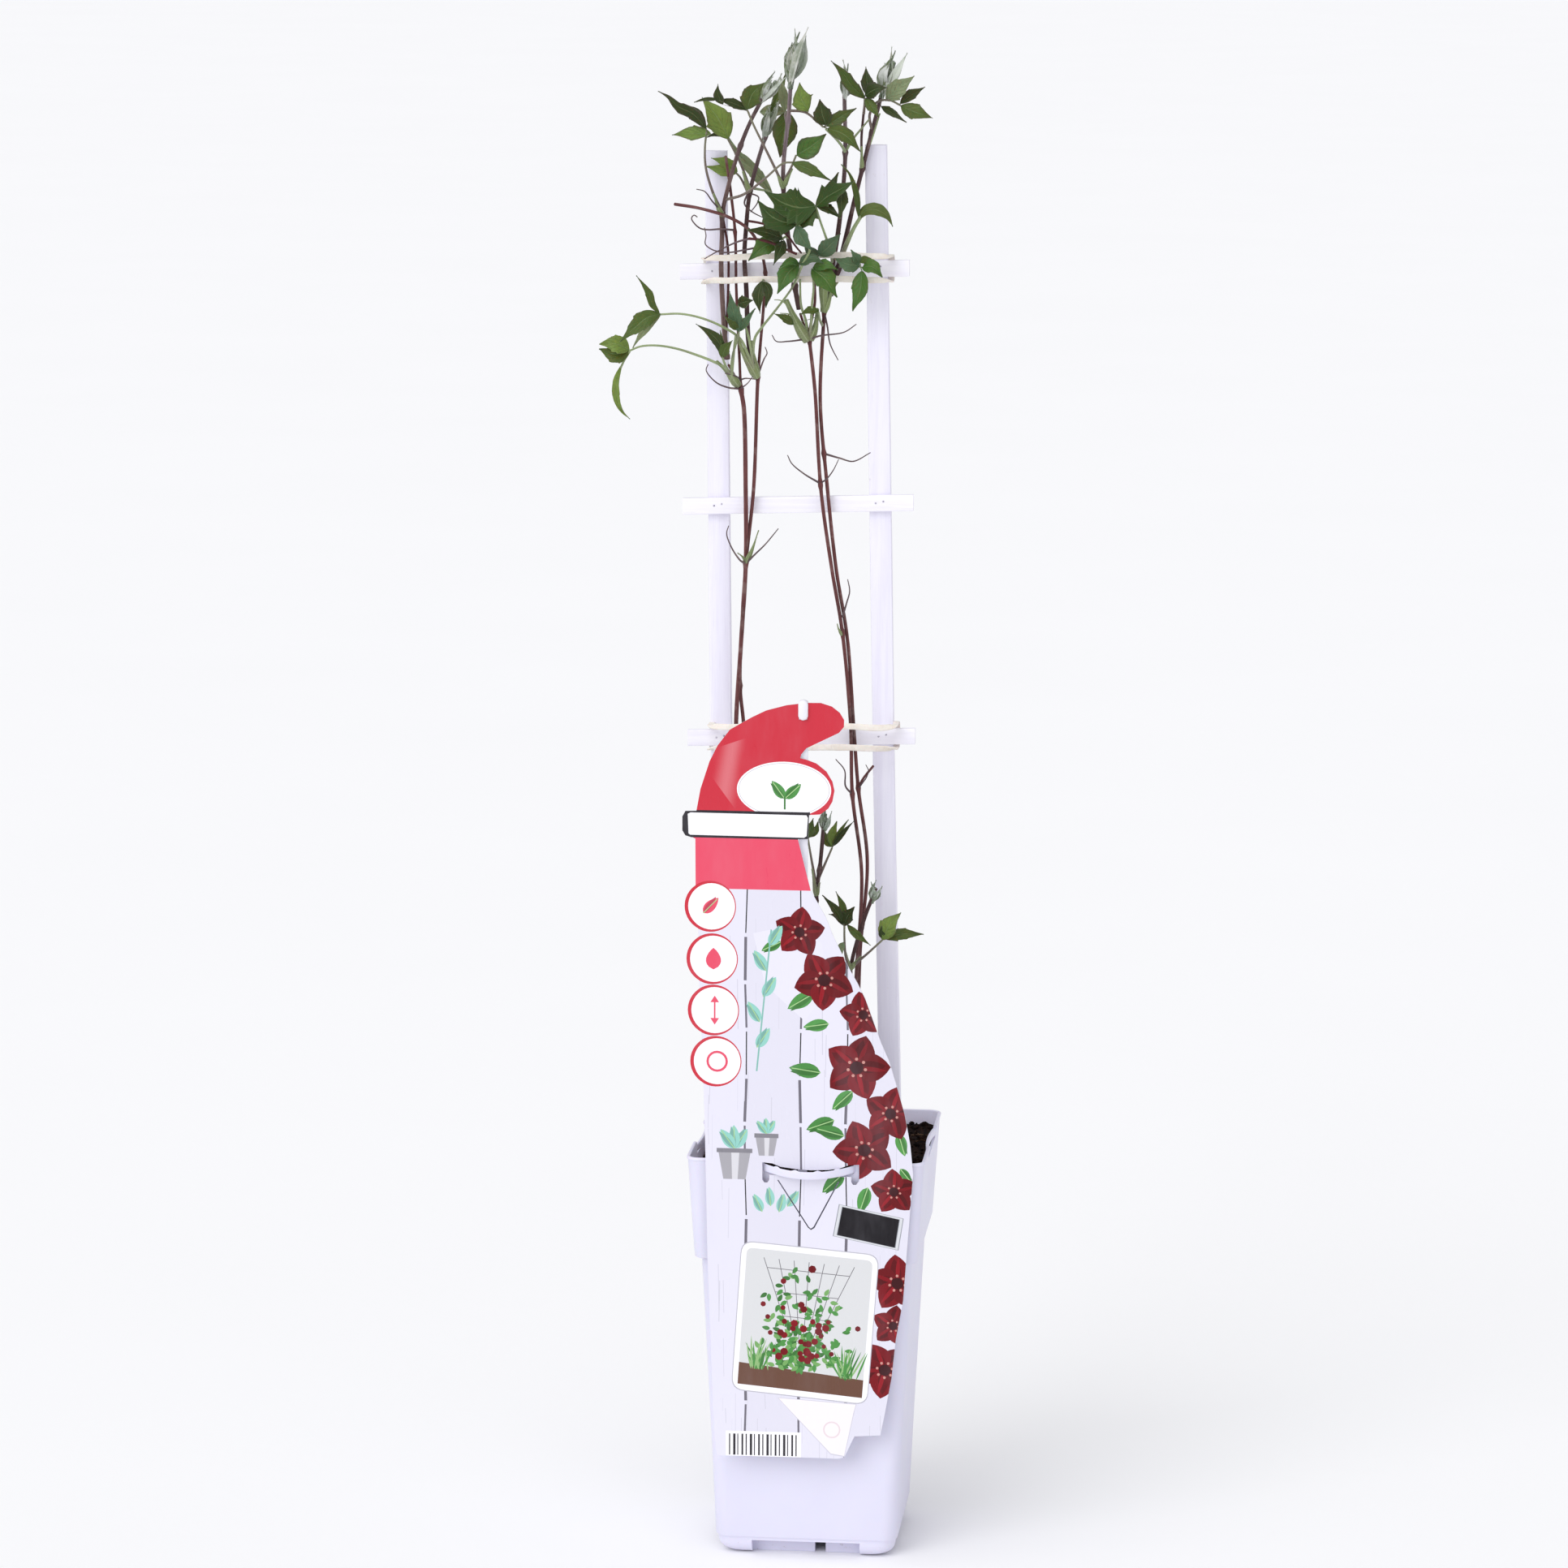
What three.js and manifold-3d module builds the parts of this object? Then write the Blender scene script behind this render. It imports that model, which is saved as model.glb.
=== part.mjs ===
// A young clematis on a small ladder trellis, in its square garden-centre pot.
// Millimetres, +Z up, front towards -Y. The group stands on z = 0.
import * as THREE from 'three';
import { mergeVertices } from 'three/addons/utils/BufferGeometryUtils.js';
import Module from 'manifold-3d';

const wasm = await Module();
wasm.setup();

// ---------------------------------------------------------------- driving dimensions
const GAP = 0.3; // clearance between neighbouring pieces
const POT_OFFSET = [25.7, 4.25]; // pot centre from the middle of the whole plant's box
const POT_HEIGHT = 210;
const RIM_HALF = 60; // half width of the rim bead
const CORNER = 6.4; // corner radius at the rim
const WALL = 1.4;
const BEAD_HEIGHT = 1.6;
const COLLAR_HEIGHT = 53;
const COLLAR_TOP_HALF = 59.5;
const COLLAR_LOW_HALF = 56.3;
const BODY_TOP_HALF = 53.5;
const BODY_LOW_HALF = 46.2;
const BASE_HALF = 36; // half width at the ground, under the rounded bottom edge
const BASE_ROUND = 10; // height of the rounded bottom edge
const LEDGE = 0.8; // step from the rounded bottom edge out to the body
const FLOOR_UNDER = 7.8; // underside of the pot's floor
const FLOOR_TOP = 9.6;
const NOTCH_HALF = 27.5; // half width of the skirt notch on each side
const STRAP_HALF = 24; // half length of the strap at each rim centre
const STRAP_LOW = 204.8; // underside of the straps
const STRAP_TALL = 3.8;
const STRAP_BOW = 9; // how far the front strap stands out
const SOIL_TOP = 199;
const SOIL_LOW = FLOOR_TOP + GAP;
const UPRIGHT_WIDE = 10.8;
const UPRIGHT_FRONT = 8; // y of the uprights' front face
const UPRIGHT_THICK = 6;
const UPRIGHT_FOOT = 112; // z of the uprights' buried ends
const RUNG_FRONT = 4;
const RUNG_THICK = UPRIGHT_FRONT - GAP - RUNG_FRONT;
const STALK_RADIUS = 0.6;
const TENDRIL_RADIUS = 0.5;
const LEAF_THICK = 0.9;
const CARD_FRONT = -62.4; // y of the card's printed face
const CARD_THICK = 0.7;

// Routes are drawn on the upright middle plane y = 0. A point in front of the plane or behind
// it keeps to the straight line from its drawn place to this station point.
const STATION = new THREE.Vector3(270.8, -2939.4, 916.7);

// Place of a drawn point [x, z, y], in the pot's frame.
function at([x, z, y = 0]) {
  const reach = 1 - y / STATION.y;
  return new THREE.Vector3(STATION.x + (x - STATION.x) * reach, y, STATION.z + (z - STATION.z) * reach);
}

// ---------------------------------------------------------------- solids
function solidOf(geometry) {
  geometry.deleteAttribute('normal');
  geometry.deleteAttribute('uv');
  const merged = mergeVertices(geometry, 1e-4);
  const mesh = new wasm.Mesh({
    numProp: 3,
    vertProperties: new Float32Array(merged.attributes.position.array),
    triVerts: new Uint32Array(merged.index.array),
  });
  return new wasm.Manifold(mesh);
}

function joinAll(solids) {
  return solids.reduce((whole, next) => whole.add(next));
}

// The largest single body of a solid, without the crumbs that a cut can leave.
function mainBody(solid) {
  const bodies = solid.decompose();
  return bodies.reduce((best, next) => (next.volume() > best.volume() ? next : best));
}

function box(x0, x1, y0, y1, z0, z1) {
  const geometry = new THREE.BoxGeometry(x1 - x0, y1 - y0, z1 - z0);
  geometry.translate((x0 + x1) / 2, (y0 + y1) / 2, (z0 + z1) / 2);
  return solidOf(geometry);
}

// A flat plate whose outline is given as [x, z] pairs, from y = front backwards.
function plate(outline, front, thick) {
  const shape = new THREE.Shape(outline.map(([x, z]) => new THREE.Vector2(x, z)));
  const geometry = new THREE.ExtrudeGeometry(shape, { depth: thick, bevelEnabled: false });
  geometry.rotateX(Math.PI / 2);
  geometry.translate(0, front + thick, 0);
  return solidOf(geometry);
}

function roundedSquare(half, radius) {
  const inner = half - radius;
  const shape = new THREE.Shape();
  shape.absarc(inner, inner, radius, 0, Math.PI / 2);
  shape.absarc(-inner, inner, radius, Math.PI / 2, Math.PI);
  shape.absarc(-inner, -inner, radius, Math.PI, Math.PI * 1.5);
  shape.absarc(inner, -inner, radius, Math.PI * 1.5, Math.PI * 2);
  return shape;
}

// A square column with round corners that widens from half width a at z0 to b at z1.
function taper(z0, a, z1, b, radius, rounds = 1) {
  const options = { depth: z1 - z0, bevelEnabled: false, curveSegments: rounds };
  const geometry = new THREE.ExtrudeGeometry(roundedSquare(a, radius), options);
  const position = geometry.attributes.position;
  for (let i = 0; i < position.count; i += 1) {
    const scale = position.getZ(i) > 1e-6 ? b / a : 1;
    position.setXYZ(i, position.getX(i) * scale, position.getY(i) * scale, position.getZ(i) + z0);
  }
  return solidOf(geometry);
}

// A round rod of the given radius along a smooth curve through placed points.
function rod(points, radius, sides, step) {
  const curve = new THREE.CatmullRomCurve3(points, false, 'centripetal');
  const corners = [];
  for (let i = 0; i < sides; i += 1) {
    const turn = (i / sides) * Math.PI * 2;
    corners.push(new THREE.Vector2(radius * Math.cos(turn), radius * Math.sin(turn)));
  }
  const options = {
    steps: Math.max(points.length - 1, Math.ceil(curve.getLength() / step)),
    bevelEnabled: false,
    extrudePath: curve,
  };
  return solidOf(new THREE.ExtrudeGeometry(new THREE.Shape(corners), options));
}

// A thin pointed blade along a midrib, its face turned towards the given direction.
function blade(midrib, width, grow, facing) {
  const base = midrib[0];
  const along = midrib[midrib.length - 1].clone().sub(base);
  const length = along.length() + grow;
  along.normalize();
  const face = facing.clone().addScaledVector(along, -facing.dot(along)).normalize();
  const across = face.clone().cross(along);
  const rib = new THREE.SplineCurve(midrib.map((point) => {
    const way = point.clone().sub(base);
    return new THREE.Vector2(way.dot(along), way.dot(across));
  }));
  const sides = (side) => [[0.38, 1], [0.72, 0.62]].map(([share, size]) => {
    const { x, y } = rib.getPoint(share);
    return new THREE.Vector2(x, y + side * size * (width / 2 + grow));
  });
  const stub = 0.55 + grow;
  const shape = new THREE.Shape([
    new THREE.Vector2(-0.8 - grow, -stub),
    ...sides(-1),
    new THREE.Vector2(length, -0.3),
    new THREE.Vector2(length, 0.3),
    ...sides(1).reverse(),
    new THREE.Vector2(-0.8 - grow, stub),
  ]);
  const thick = LEAF_THICK + 2 * grow;
  const geometry = new THREE.ExtrudeGeometry(shape, { depth: thick, bevelEnabled: false });
  geometry.translate(0, 0, -thick / 2);
  geometry.applyMatrix4(new THREE.Matrix4().makeBasis(along, across, face).setPosition(base));
  return solidOf(geometry);
}

// ---------------------------------------------------------------- pot
function aroundPot(make) {
  return [0, 90, 180, 270].map((turn) => make(turn).rotate([0, 0, turn]));
}

// Strap over the slit at a rim centre. Its ends run into the collar, its middle bows by bow.
function rimStrap(bow, dip) {
  const count = 6;
  const front = [];
  const back = [];
  for (let i = 0; i <= count; i += 1) {
    const x = STRAP_HALF * (2 * i / count - 1);
    const swell = bow * (1 - (x / STRAP_HALF) ** 2);
    front.push(new THREE.Vector2(x, -COLLAR_TOP_HALF - swell));
    back.unshift(new THREE.Vector2(x, -COLLAR_TOP_HALF - swell + 1.5));
  }
  const shape = new THREE.Shape(front.concat(back));
  const geometry = new THREE.ExtrudeGeometry(shape, { depth: STRAP_TALL, bevelEnabled: false });
  const position = geometry.attributes.position;
  for (let i = 0; i < position.count; i += 1) {
    const sag = dip * (1 - (position.getX(i) / STRAP_HALF) ** 2);
    position.setZ(i, position.getZ(i) + STRAP_LOW - sag);
  }
  geometry.translate(2, 0, 0);
  return solidOf(geometry);
}

function hole(x, y, radius) {
  const geometry = new THREE.CylinderGeometry(radius, radius, 8, 10);
  geometry.rotateX(Math.PI / 2);
  geometry.translate(x, y, FLOOR_TOP - 2);
  return solidOf(geometry);
}

function makePot() {
  const step = POT_HEIGHT - COLLAR_HEIGHT;
  const beadLow = POT_HEIGHT - BEAD_HEIGHT;
  const outside = joinAll([
    taper(0, BASE_HALF, 1.3, 40.5, 8),
    taper(1.2, 40.2, 4.2, 44, 8),
    taper(4, 43.9, BASE_ROUND, BODY_LOW_HALF - LEDGE, 8),
    taper(BASE_ROUND - 0.3, BODY_LOW_HALF, step + 0.5, BODY_TOP_HALF, 8),
    taper(step, COLLAR_LOW_HALF - 1.3, step + 1.5, COLLAR_LOW_HALF, 6.2),
    taper(step + 1.4, COLLAR_LOW_HALF, beadLow + 0.1, COLLAR_TOP_HALF, 6.2, 2),
    taper(beadLow, RIM_HALF, POT_HEIGHT, RIM_HALF, CORNER, 2),
  ]);
  const ledge = step + WALL;
  const inside = joinAll([
    taper(FLOOR_TOP, BODY_LOW_HALF - LEDGE - WALL, ledge + 0.1, BODY_TOP_HALF - WALL, 7),
    taper(ledge, COLLAR_LOW_HALF - WALL, POT_HEIGHT + 1, COLLAR_TOP_HALF - WALL, 5, 2),
  ]);
  let pot = outside.subtract(inside);
  pot = pot.subtract(taper(-1, BASE_HALF - 4.4, FLOOR_UNDER, BASE_HALF - 4, 5));
  const cuts = aroundPot(() => joinAll([
    box(-NOTCH_HALF, NOTCH_HALF, -50, -BASE_HALF - 0.2, -1, FLOOR_UNDER),
    box(4, 9.5, -50, 0, -1, FLOOR_UNDER),
    box(2 - STRAP_HALF + 1.5, 2 + STRAP_HALF - 1.5, -62, -56, POT_HEIGHT - 6.2, POT_HEIGHT + 1),
  ]));
  const drains = [[0, 0, 5], [22, 22, 4], [-22, 22, 4], [22, -22, 4], [-22, -22, 4]];
  const holes = drains.map(([x, y, radius]) => hole(x, y, radius));
  pot = pot.subtract(joinAll(cuts)).subtract(joinAll(holes));
  const straps = aroundPot((turn) => (turn === 0 ? rimStrap(STRAP_BOW, 2.4) : rimStrap(-2, 0)));
  return mainBody(pot.add(joinAll(straps)));
}

// ---------------------------------------------------------------- trellis
const UPRIGHTS = {
  trellis_upright_left: { top: [-52.5, 708], low: [-49.4, 428], foot: -43.5 },
  trellis_upright_right: { top: [27, 711.8], low: [33.2, 396], foot: 40 },
};

function makeUpright({ top, low, foot }, grow) {
  const half = UPRIGHT_WIDE / 2 + grow;
  const head = at([top[0], top[1], UPRIGHT_FRONT]);
  const knee = at([low[0], low[1], UPRIGHT_FRONT]);
  const outline = [
    [foot - half, UPRIGHT_FOOT - grow],
    [foot + half, UPRIGHT_FOOT - grow],
    [knee.x + half, knee.z],
    [head.x + half, head.z + grow],
    [head.x - half, head.z + grow],
    [knee.x - half, knee.z],
  ];
  return plate(outline, UPRIGHT_FRONT - grow, UPRIGHT_THICK + 2 * grow);
}

// Drawn [x, top z, bottom z] of each rung's left end and right end.
const RUNGS = {
  trellis_rung_top: [[-70.2, 651.7, 643.9], [44.1, 655.2, 647]],
  trellis_rung_middle: [[-68.8, 534.4, 526.2], [47.1, 538.1, 530]],
  trellis_rung_bottom: [[-66, 416.8, 408.7], [48.9, 419.9, 411.9]],
};

function makeRung([left, right], grow) {
  const corners = [
    at([left[0], left[2], RUNG_FRONT]),
    at([right[0], right[2], RUNG_FRONT]),
    at([right[0], right[1], RUNG_FRONT]),
    at([left[0], left[1], RUNG_FRONT]),
  ];
  const outline = corners.map((corner, i) => [
    corner.x + (i === 1 || i === 2 ? grow : -grow),
    corner.z + (i > 1 ? grow : -grow),
  ]);
  return plate(outline, RUNG_FRONT - grow, RUNG_THICK + 2 * grow);
}

// ---------------------------------------------------------------- rubber bands
// Each band runs in front of the stems twice and hooks behind both ends of its rung.
// Per end: x, z of the upper and lower run, z of the rung's upper and lower edge there.
const BANDS = {
  rubber_band_top: [[-54.6, 655.6, 644.4, 652, 644.2], [31.2, 657.4, 645.6, 654.6, 646.4]],
  rubber_band_bottom: [[-51, 419.8, 409, 417.1, 408.9], [35.6, 421, 410.4, 419.6, 411.6]],
};
const BAND_FRONT = -6.2;
const BAND_BACK = 10.7;
const BAND_RADIUS = 1.25;

function bandTurn([x, high, low, rungTop, rungLow], side) {
  const y = BAND_FRONT;
  const over = rungTop + 2.1;
  const under = rungLow - 2.1;
  const out = x + side * 3.4;
  return [
    new THREE.Vector3(x - side * 8, y, high),
    new THREE.Vector3(x - side * 1.5, y + 0.8, high),
    new THREE.Vector3(out, -1, (high + over) / 2 + 0.3),
    new THREE.Vector3(out, 8.5, over + 0.1),
    new THREE.Vector3(out, BAND_BACK, over - 3.6),
    new THREE.Vector3(out, BAND_BACK, under + 3.6),
    new THREE.Vector3(out, 8.5, under - 0.1),
    new THREE.Vector3(out, -1, (low + under) / 2 - 0.3),
    new THREE.Vector3(x - side * 1.5, y + 0.8, low),
    new THREE.Vector3(x - side * 8, y, low),
  ];
}

function makeBand([left, right], grow) {
  const y = BAND_FRONT;
  const run = (z0, z1) => [
    new THREE.Vector3(left[0] + 6, y, z0),
    new THREE.Vector3(left[0] + 30, y - 0.5, z0 + 0.5),
    new THREE.Vector3((left[0] + right[0]) / 2 + 12, y - 0.5, (z0 + z1) / 2 + 0.6),
    new THREE.Vector3(right[0] - 6, y, z1),
  ];
  return joinAll([
    rod(run(left[1], right[1]), BAND_RADIUS + grow, 4, 25),
    rod(run(left[2], right[2]), BAND_RADIUS + grow, 4, 25),
    rod(bandTurn(left, -1), BAND_RADIUS + grow + 0.05, 4, 5),
    rod(bandTurn(right, 1), BAND_RADIUS + grow + 0.05, 4, 5),
  ]);
}

// ---------------------------------------------------------------- hang card and its stake
const CARD_OUTLINE = [
  [-54.5, 387], [-52.5, 398], [-48, 412], [-44, 420], [-38, 428], [-33, 431], [-27, 434.5],
  [-20, 438], [-10, 440.8], [0, 442.2], [7, 442.3], [12.5, 440.6], [16.4, 437.6], [18.6, 434],
  [18.5, 430.5], [16, 427.5], [10, 424.5], [5, 422], [0, 419.5], [-2.5, 416.5], [-3, 414.5],
  [0, 413.8], [5, 412], [10, 408], [13, 403], [14, 398.5], [13, 393], [11, 389.5], [7, 386.5],
  [1.5, 386], [1, 374], [-4, 373.8], [2.5, 348], [10, 335], [14, 325], [18, 317], [22, 309],
  [26, 302], [30, 294], [34, 283], [38, 272], [42, 263], [46, 250], [50, 236], [53, 220],
  [54.5, 205], [52, 170], [50, 140], [46.5, 120], [44.5, 100], [41, 80], [39, 70], [26, 69],
  [21, 58], [18, 57], [-43.5, 57], [-45, 70], [-48.5, 160], [-50, 230], [-51.5, 270],
  [-53, 300], [-53.5, 330], [-54.8, 348], [-55, 373], [-60, 374.5], [-61.5, 377], [-61.5, 384],
  [-60, 386.8],
];
const CARD_TABS = [[-47.5, 339], [-46.5, 312.5], [-45.8, 286.5], [-44.5, 260.5]];
const CARD_TAB_RADIUS = 12.8;
const CARD_SLOT = [
  [-21, 209.5], [-16, 209], [-12, 207.4], [-4, 206.4], [3, 206], [12, 206.4], [18, 207.4],
  [22, 209], [27.5, 209.5], [27.5, 201], [26, 199], [24.5, 199], [23.6, 200.5], [23.6, 203],
  [-17.5, 203], [-17.5, 200.5], [-18.5, 199], [-20, 199], [-21, 200.5],
];
const CARD_TONGUE = [
  [-13.6, 200.6], [2, 176.4], [3.5, 175.2], [5.2, 176.2], [17.7, 200.6], [17, 200.6], [4.8, 177],
  [3.5, 176], [2.5, 176.8], [-12.8, 200.6],
];
const PEG_HOLE = [[-3.8, 433.8], [0.4, 433.8], [0.4, 441], [-3.8, 441]];

// Card outlines are drawn on the plane y = -62; the card itself stands close to it.
function makeCard() {
  const tabs = CARD_TABS.map(([x, z]) => {
    const geometry = new THREE.CylinderGeometry(CARD_TAB_RADIUS, CARD_TAB_RADIUS, CARD_THICK, 20);
    geometry.translate(x, CARD_FRONT + CARD_THICK / 2, z);
    return solidOf(geometry);
  });
  const sheet = plate(CARD_OUTLINE, CARD_FRONT, CARD_THICK).add(joinAll(tabs));
  const cuts = [CARD_SLOT, CARD_TONGUE, PEG_HOLE].map((cut) => plate(cut, CARD_FRONT - 1, 3));
  return mainBody(sheet.subtract(joinAll(cuts)));
}

// A flat tapering stick that stands in the soil behind the card. Its pin goes through the
// card's hole to a cap in front.
function makeStake(grow) {
  const outline = [
    [-2.4 - grow, 163 - grow], [-1 + grow, 163 - grow], [0.6 + grow, 175], [0.6 + grow, 443],
    [-4 - grow, 443], [-4 - grow, 175],
  ];
  const stick = plate(outline, -grow, 1.8 + 2 * grow);
  const lean = Math.atan2(6.4, 240);
  const leaned = stick.rotate([lean * 180 / Math.PI, 0, 0]);
  const top = 443 * Math.sin(lean);
  const placed = leaned.translate([0, CARD_FRONT + CARD_THICK + GAP + top + 0.3, 0]);
  const front = CARD_FRONT - 1.6;
  const pin = box(-3.5, 0.1, front, CARD_FRONT + 2.6, 434.1, 440.7);
  const cap = box(-4, 0.8, front, CARD_FRONT - GAP, 433.6, 443.6);
  return mainBody(joinAll([placed, pin, cap]));
}

// ---------------------------------------------------------------- stems and shoots
// Routes are drawn points [x, z, y]. Twigs are tendrils and short stalks of the same piece.
const STEMS = {
  stem_left_1: {
    radius: 1.1,
    upper: 0.7, // radius above the topmost node
    node: 9, // index of that node in the route
    route: [
      [-31, 150, 6], [-33, 205, 4], [-38, 300, 0], [-41, 380, -2.2], [-41.5, 420, -2.4],
      [-39.2, 460, -2.2], [-36.8, 503, -2.2], [-37, 540, -2.2], [-38, 580, -2.4], [-39.5, 590, -2.4],
      [-40.3, 605, -2.4], [-42, 640, -2.4], [-42.7, 668, -2.4], [-45.2, 690, -2], [-47.5, 705.5, -1.4],
    ],
    twigs: [
      [[-37, 502, -2.2], [-40, 504, -8], [-44, 510, -9], [-46.5, 517, -9], [-45.5, 521, -9]],
      [[-36.8, 502, -2.2], [-32, 507, -9], [-27, 512, -11], [-20.5, 520, -11]],
      [[-40, 590, -2.4], [-46, 590.5, -9], [-52, 593, -11], [-57, 599, -11], [-56, 602, -11]],
      [[-39, 590, -2.4], [-43, 597, -2.6], [-45.8, 602, -3]],
    ],
  },
  stem_left_2: {
    radius: 0.9,
    upper: 0.75,
    node: 9,
    route: [
      [-24, 150, 14], [-27, 205, 11], [-32, 300, 6], [-35.4, 380, 1.6], [-37.6, 420, 0.8],
      [-39.5, 440, 0.4], [-38.5, 475, 0.3], [-36.5, 505, 0.3], [-33, 540, 0.3], [-31, 596, 0.6],
      [-28.3, 632, 0.8], [-27.5, 648, 0.4], [-30.5, 661, -1.6], [-36, 669.5, -6.4],
      [-45, 675, -7.4], [-60, 679.5, -8], [-73, 681.5, -8],
    ],
    twigs: [
      [[-31, 597, 0.6], [-28, 605, -4], [-26.5, 608, -5], [-27.5, 611, -5]],
    ],
  },
  stem_right_1: {
    radius: 0.9,
    route: [
      [10, 150, -2], [12, 205, -3], [18, 260, -5], [20.5, 300, -5], [22.5, 345, -4],
      [17.5, 386, -2.2], [16.5, 420, -2], [12, 468, -2], [6.5, 500, -2], [0.8, 540, -2],
      [-2.5, 590, -2], [-5.5, 616, -2.4],
    ],
    twigs: [
      [[17.3, 386, -2.2], [14, 390, -8], [13.5, 398, -10], [9, 403.5, -10]],
      [[12, 476, -2], [14, 483, -8], [15.5, 489, -9], [14.5, 495, -9]],
      [[0.6, 543, -2], [-8, 548, -9], [-14, 553, -11], [-16, 557, -11]],
      [[-5.5, 615.5, -2.4], [-16, 614, -9], [-22, 614, -11], [-24, 617, -11]],
      [[-5.5, 615, -2.4], [0, 617, -8], [12, 619, -11], [18, 623, -11]],
      [[-5.5, 614, -2.4], [-8, 622, -3], [-10, 628, -3.6]],
    ],
  },
  stem_right_2: {
    radius: 0.9,
    route: [
      [18, 150, 6], [19, 205, 4], [21, 260, 1], [22, 305, -0.6], [25.3, 352, -0.6],
      [20.5, 389, 0.2], [18, 420, 0.3], [14.5, 465, 0.3], [8.7, 500, 0.3], [3.6, 545, 0.3],
      [0.2, 585, 0.3], [2, 630, 0.6],
    ],
    twigs: [
      [[20.5, 389, 0.2], [23, 394, -4], [28, 400.5, -6]],
      [[2.6, 558, 0.3], [10, 556, -4], [17, 554.5, -7], [25.5, 559, -7]],
      [[2, 628, 0.6], [3.5, 622, -4], [5, 613, -6], [9, 605, -6]],
    ],
  },
  shoot_left_outer: {
    radius: 1.1,
    route: [
      [-46.6, 604.6, -3], [-48, 620, -3], [-49.6, 650, -2.8], [-49.2, 666, -2.8], [-49, 677, -4.2],
      [-45.5, 693, -5.2], [-40, 711, -6], [-34.6, 724, -6.6], [-31.8, 729.4, -7],
    ],
    twigs: [
      [[-49, 678, -4.2], [-54, 683, -12], [-58, 688, -15], [-62, 689, -16]],
      [[-47.4, 611, -3], [-46, 640, -0.4], [-46.2, 660, -0.4], [-48.6, 674, -3.6]],
    ],
  },
  shoot_left_inner: {
    radius: 1.1,
    route: [
      [-34, 600, -1.6], [-36, 616, -0.6], [-37, 640, 0.2], [-38, 656, 0.4], [-37.2, 670, 1],
      [-35.5, 687, 3], [-31.8, 702, 5], [-29, 711.4, 6],
    ],
    twigs: [
      [[-32.3, 597.2, 0.4], [-33.2, 599, -0.6], [-34.2, 603, -1.6]],
      [[-36, 688, 3], [-38, 682, 9], [-34, 678, 13], [-28, 675, 15]],
    ],
  },
  shoot_centre: {
    radius: 1.1,
    route: [
      [-10.6, 630, -3.8], [-12.5, 640, -3], [-14.5, 655, -2.6], [-17, 672, -4], [-18.7, 690, -6],
      [-18.7, 702, -7], [-16.3, 725, -9], [-15.5, 737.4, -10],
    ],
    twigs: [],
  },
  shoot_right_inner: {
    radius: 1.1,
    route: [
      [2.4, 633, 0.4], [4, 640, -0.6], [5.5, 650, -1.8], [8, 664, -2], [11, 690, -1],
      [12, 708, 1], [11.5, 731.4, 3],
    ],
    twigs: [],
  },
  shoot_right_outer: {
    radius: 1.1,
    route: [
      [5.2, 637, 2.2], [8.4, 649, 1.8], [12.5, 666, 2], [16.8, 685, 4], [20.5, 700, 5.6],
      [24, 714, 5.8], [28.9, 733.2, 10.6],
    ],
    twigs: [
      [[20.5, 700, 5.6], [20, 715, 3], [21, 728, 0]],
      [[2.7, 631.4, 1.8], [3.6, 634, 2], [5.4, 638, 2.2]],
    ],
  },
  shoot_low_left: {
    radius: 1,
    route: [
      [2, 180, -18], [2, 205, -18], [-1, 270, -19], [-0.5, 332, -18], [1.5, 350, -18], [3, 368, -18],
    ],
    twigs: [],
    tip: { base: [2.9, 365, -18], tops: [[1.6, 379, -18], [4.5, 380.6, -16.5], [7, 377, -20]], wide: 3.6 },
  },
  shoot_low_right: {
    radius: 1,
    route: [
      [15, 180, -14], [15, 205, -14], [15.5, 270, -14], [17.5, 298, -14], [24, 322, -14], [28, 333, -14],
    ],
    twigs: [],
    tip: { base: [27.8, 330, -14], tops: [[27, 341, -14], [30, 342, -13], [33, 339, -15]], wide: 3.6 },
  },
  dry_stem_upper: {
    radius: 0.65,
    route: [
      [-36, 664.8, -12], [-31, 664.5, -12.5], [-25, 663, -13], [-19, 660.5, -13], [-12, 657.5, -12],
    ],
    twigs: [
      [[-35, 665, -12], [-42, 663, -11], [-52, 658, -11], [-58, 654.5, -11]],
    ],
  },
};

// Downy shoot tips: a few narrow upright blades round a core. Base and tips are drawn points.
const TIPS = {
  tip_left_outer: {
    base: [-31, 731, -7.2], tops: [[-20, 746.5, -9], [-23, 747.5, -5], [-17, 746, -8]], wide: 3.8,
  },
  tip_left_inner: {
    base: [-28.6, 713, 6], tops: [[-21, 735.5, 7], [-24.5, 733, 8.5], [-26, 727, 6]], wide: 4.3,
  },
  tip_centre: {
    base: [-15.6, 739, -10.2], tops: [[-14, 768.5, -11], [-11, 767, -8], [-7.4, 769.6, -12]], wide: 6.1,
  },
  tip_right_inner: {
    base: [11.5, 733, 3.2], tops: [[10.5, 753.5, 3], [13.2, 751.6, 5], [14.5, 745, 2]], wide: 3.8,
  },
  tip_right_outer: {
    base: [29.5, 735, 11], tops: [[34, 760, 13], [36.5, 758, 10], [42, 757.5, 14]], wide: 6.1,
  },
};

function makeTip({ base, tops, wide }, grow) {
  const foot = at(base);
  const core = foot.clone().lerp(at(tops[0]), 0.5);
  const blades = tops.map((top, i) => {
    const facing = new THREE.Vector3(0.8 * (i - 1), -1, 0.3 * i);
    const root = foot.clone().lerp(core, 0.2 + 0.3 * i);
    return blade([root, at(top)], wide * (1 - 0.12 * i), grow, facing);
  });
  blades.push(rod([foot, core], wide * 0.24 + grow, 5, 100));
  return mainBody(joinAll(blades));
}

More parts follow.
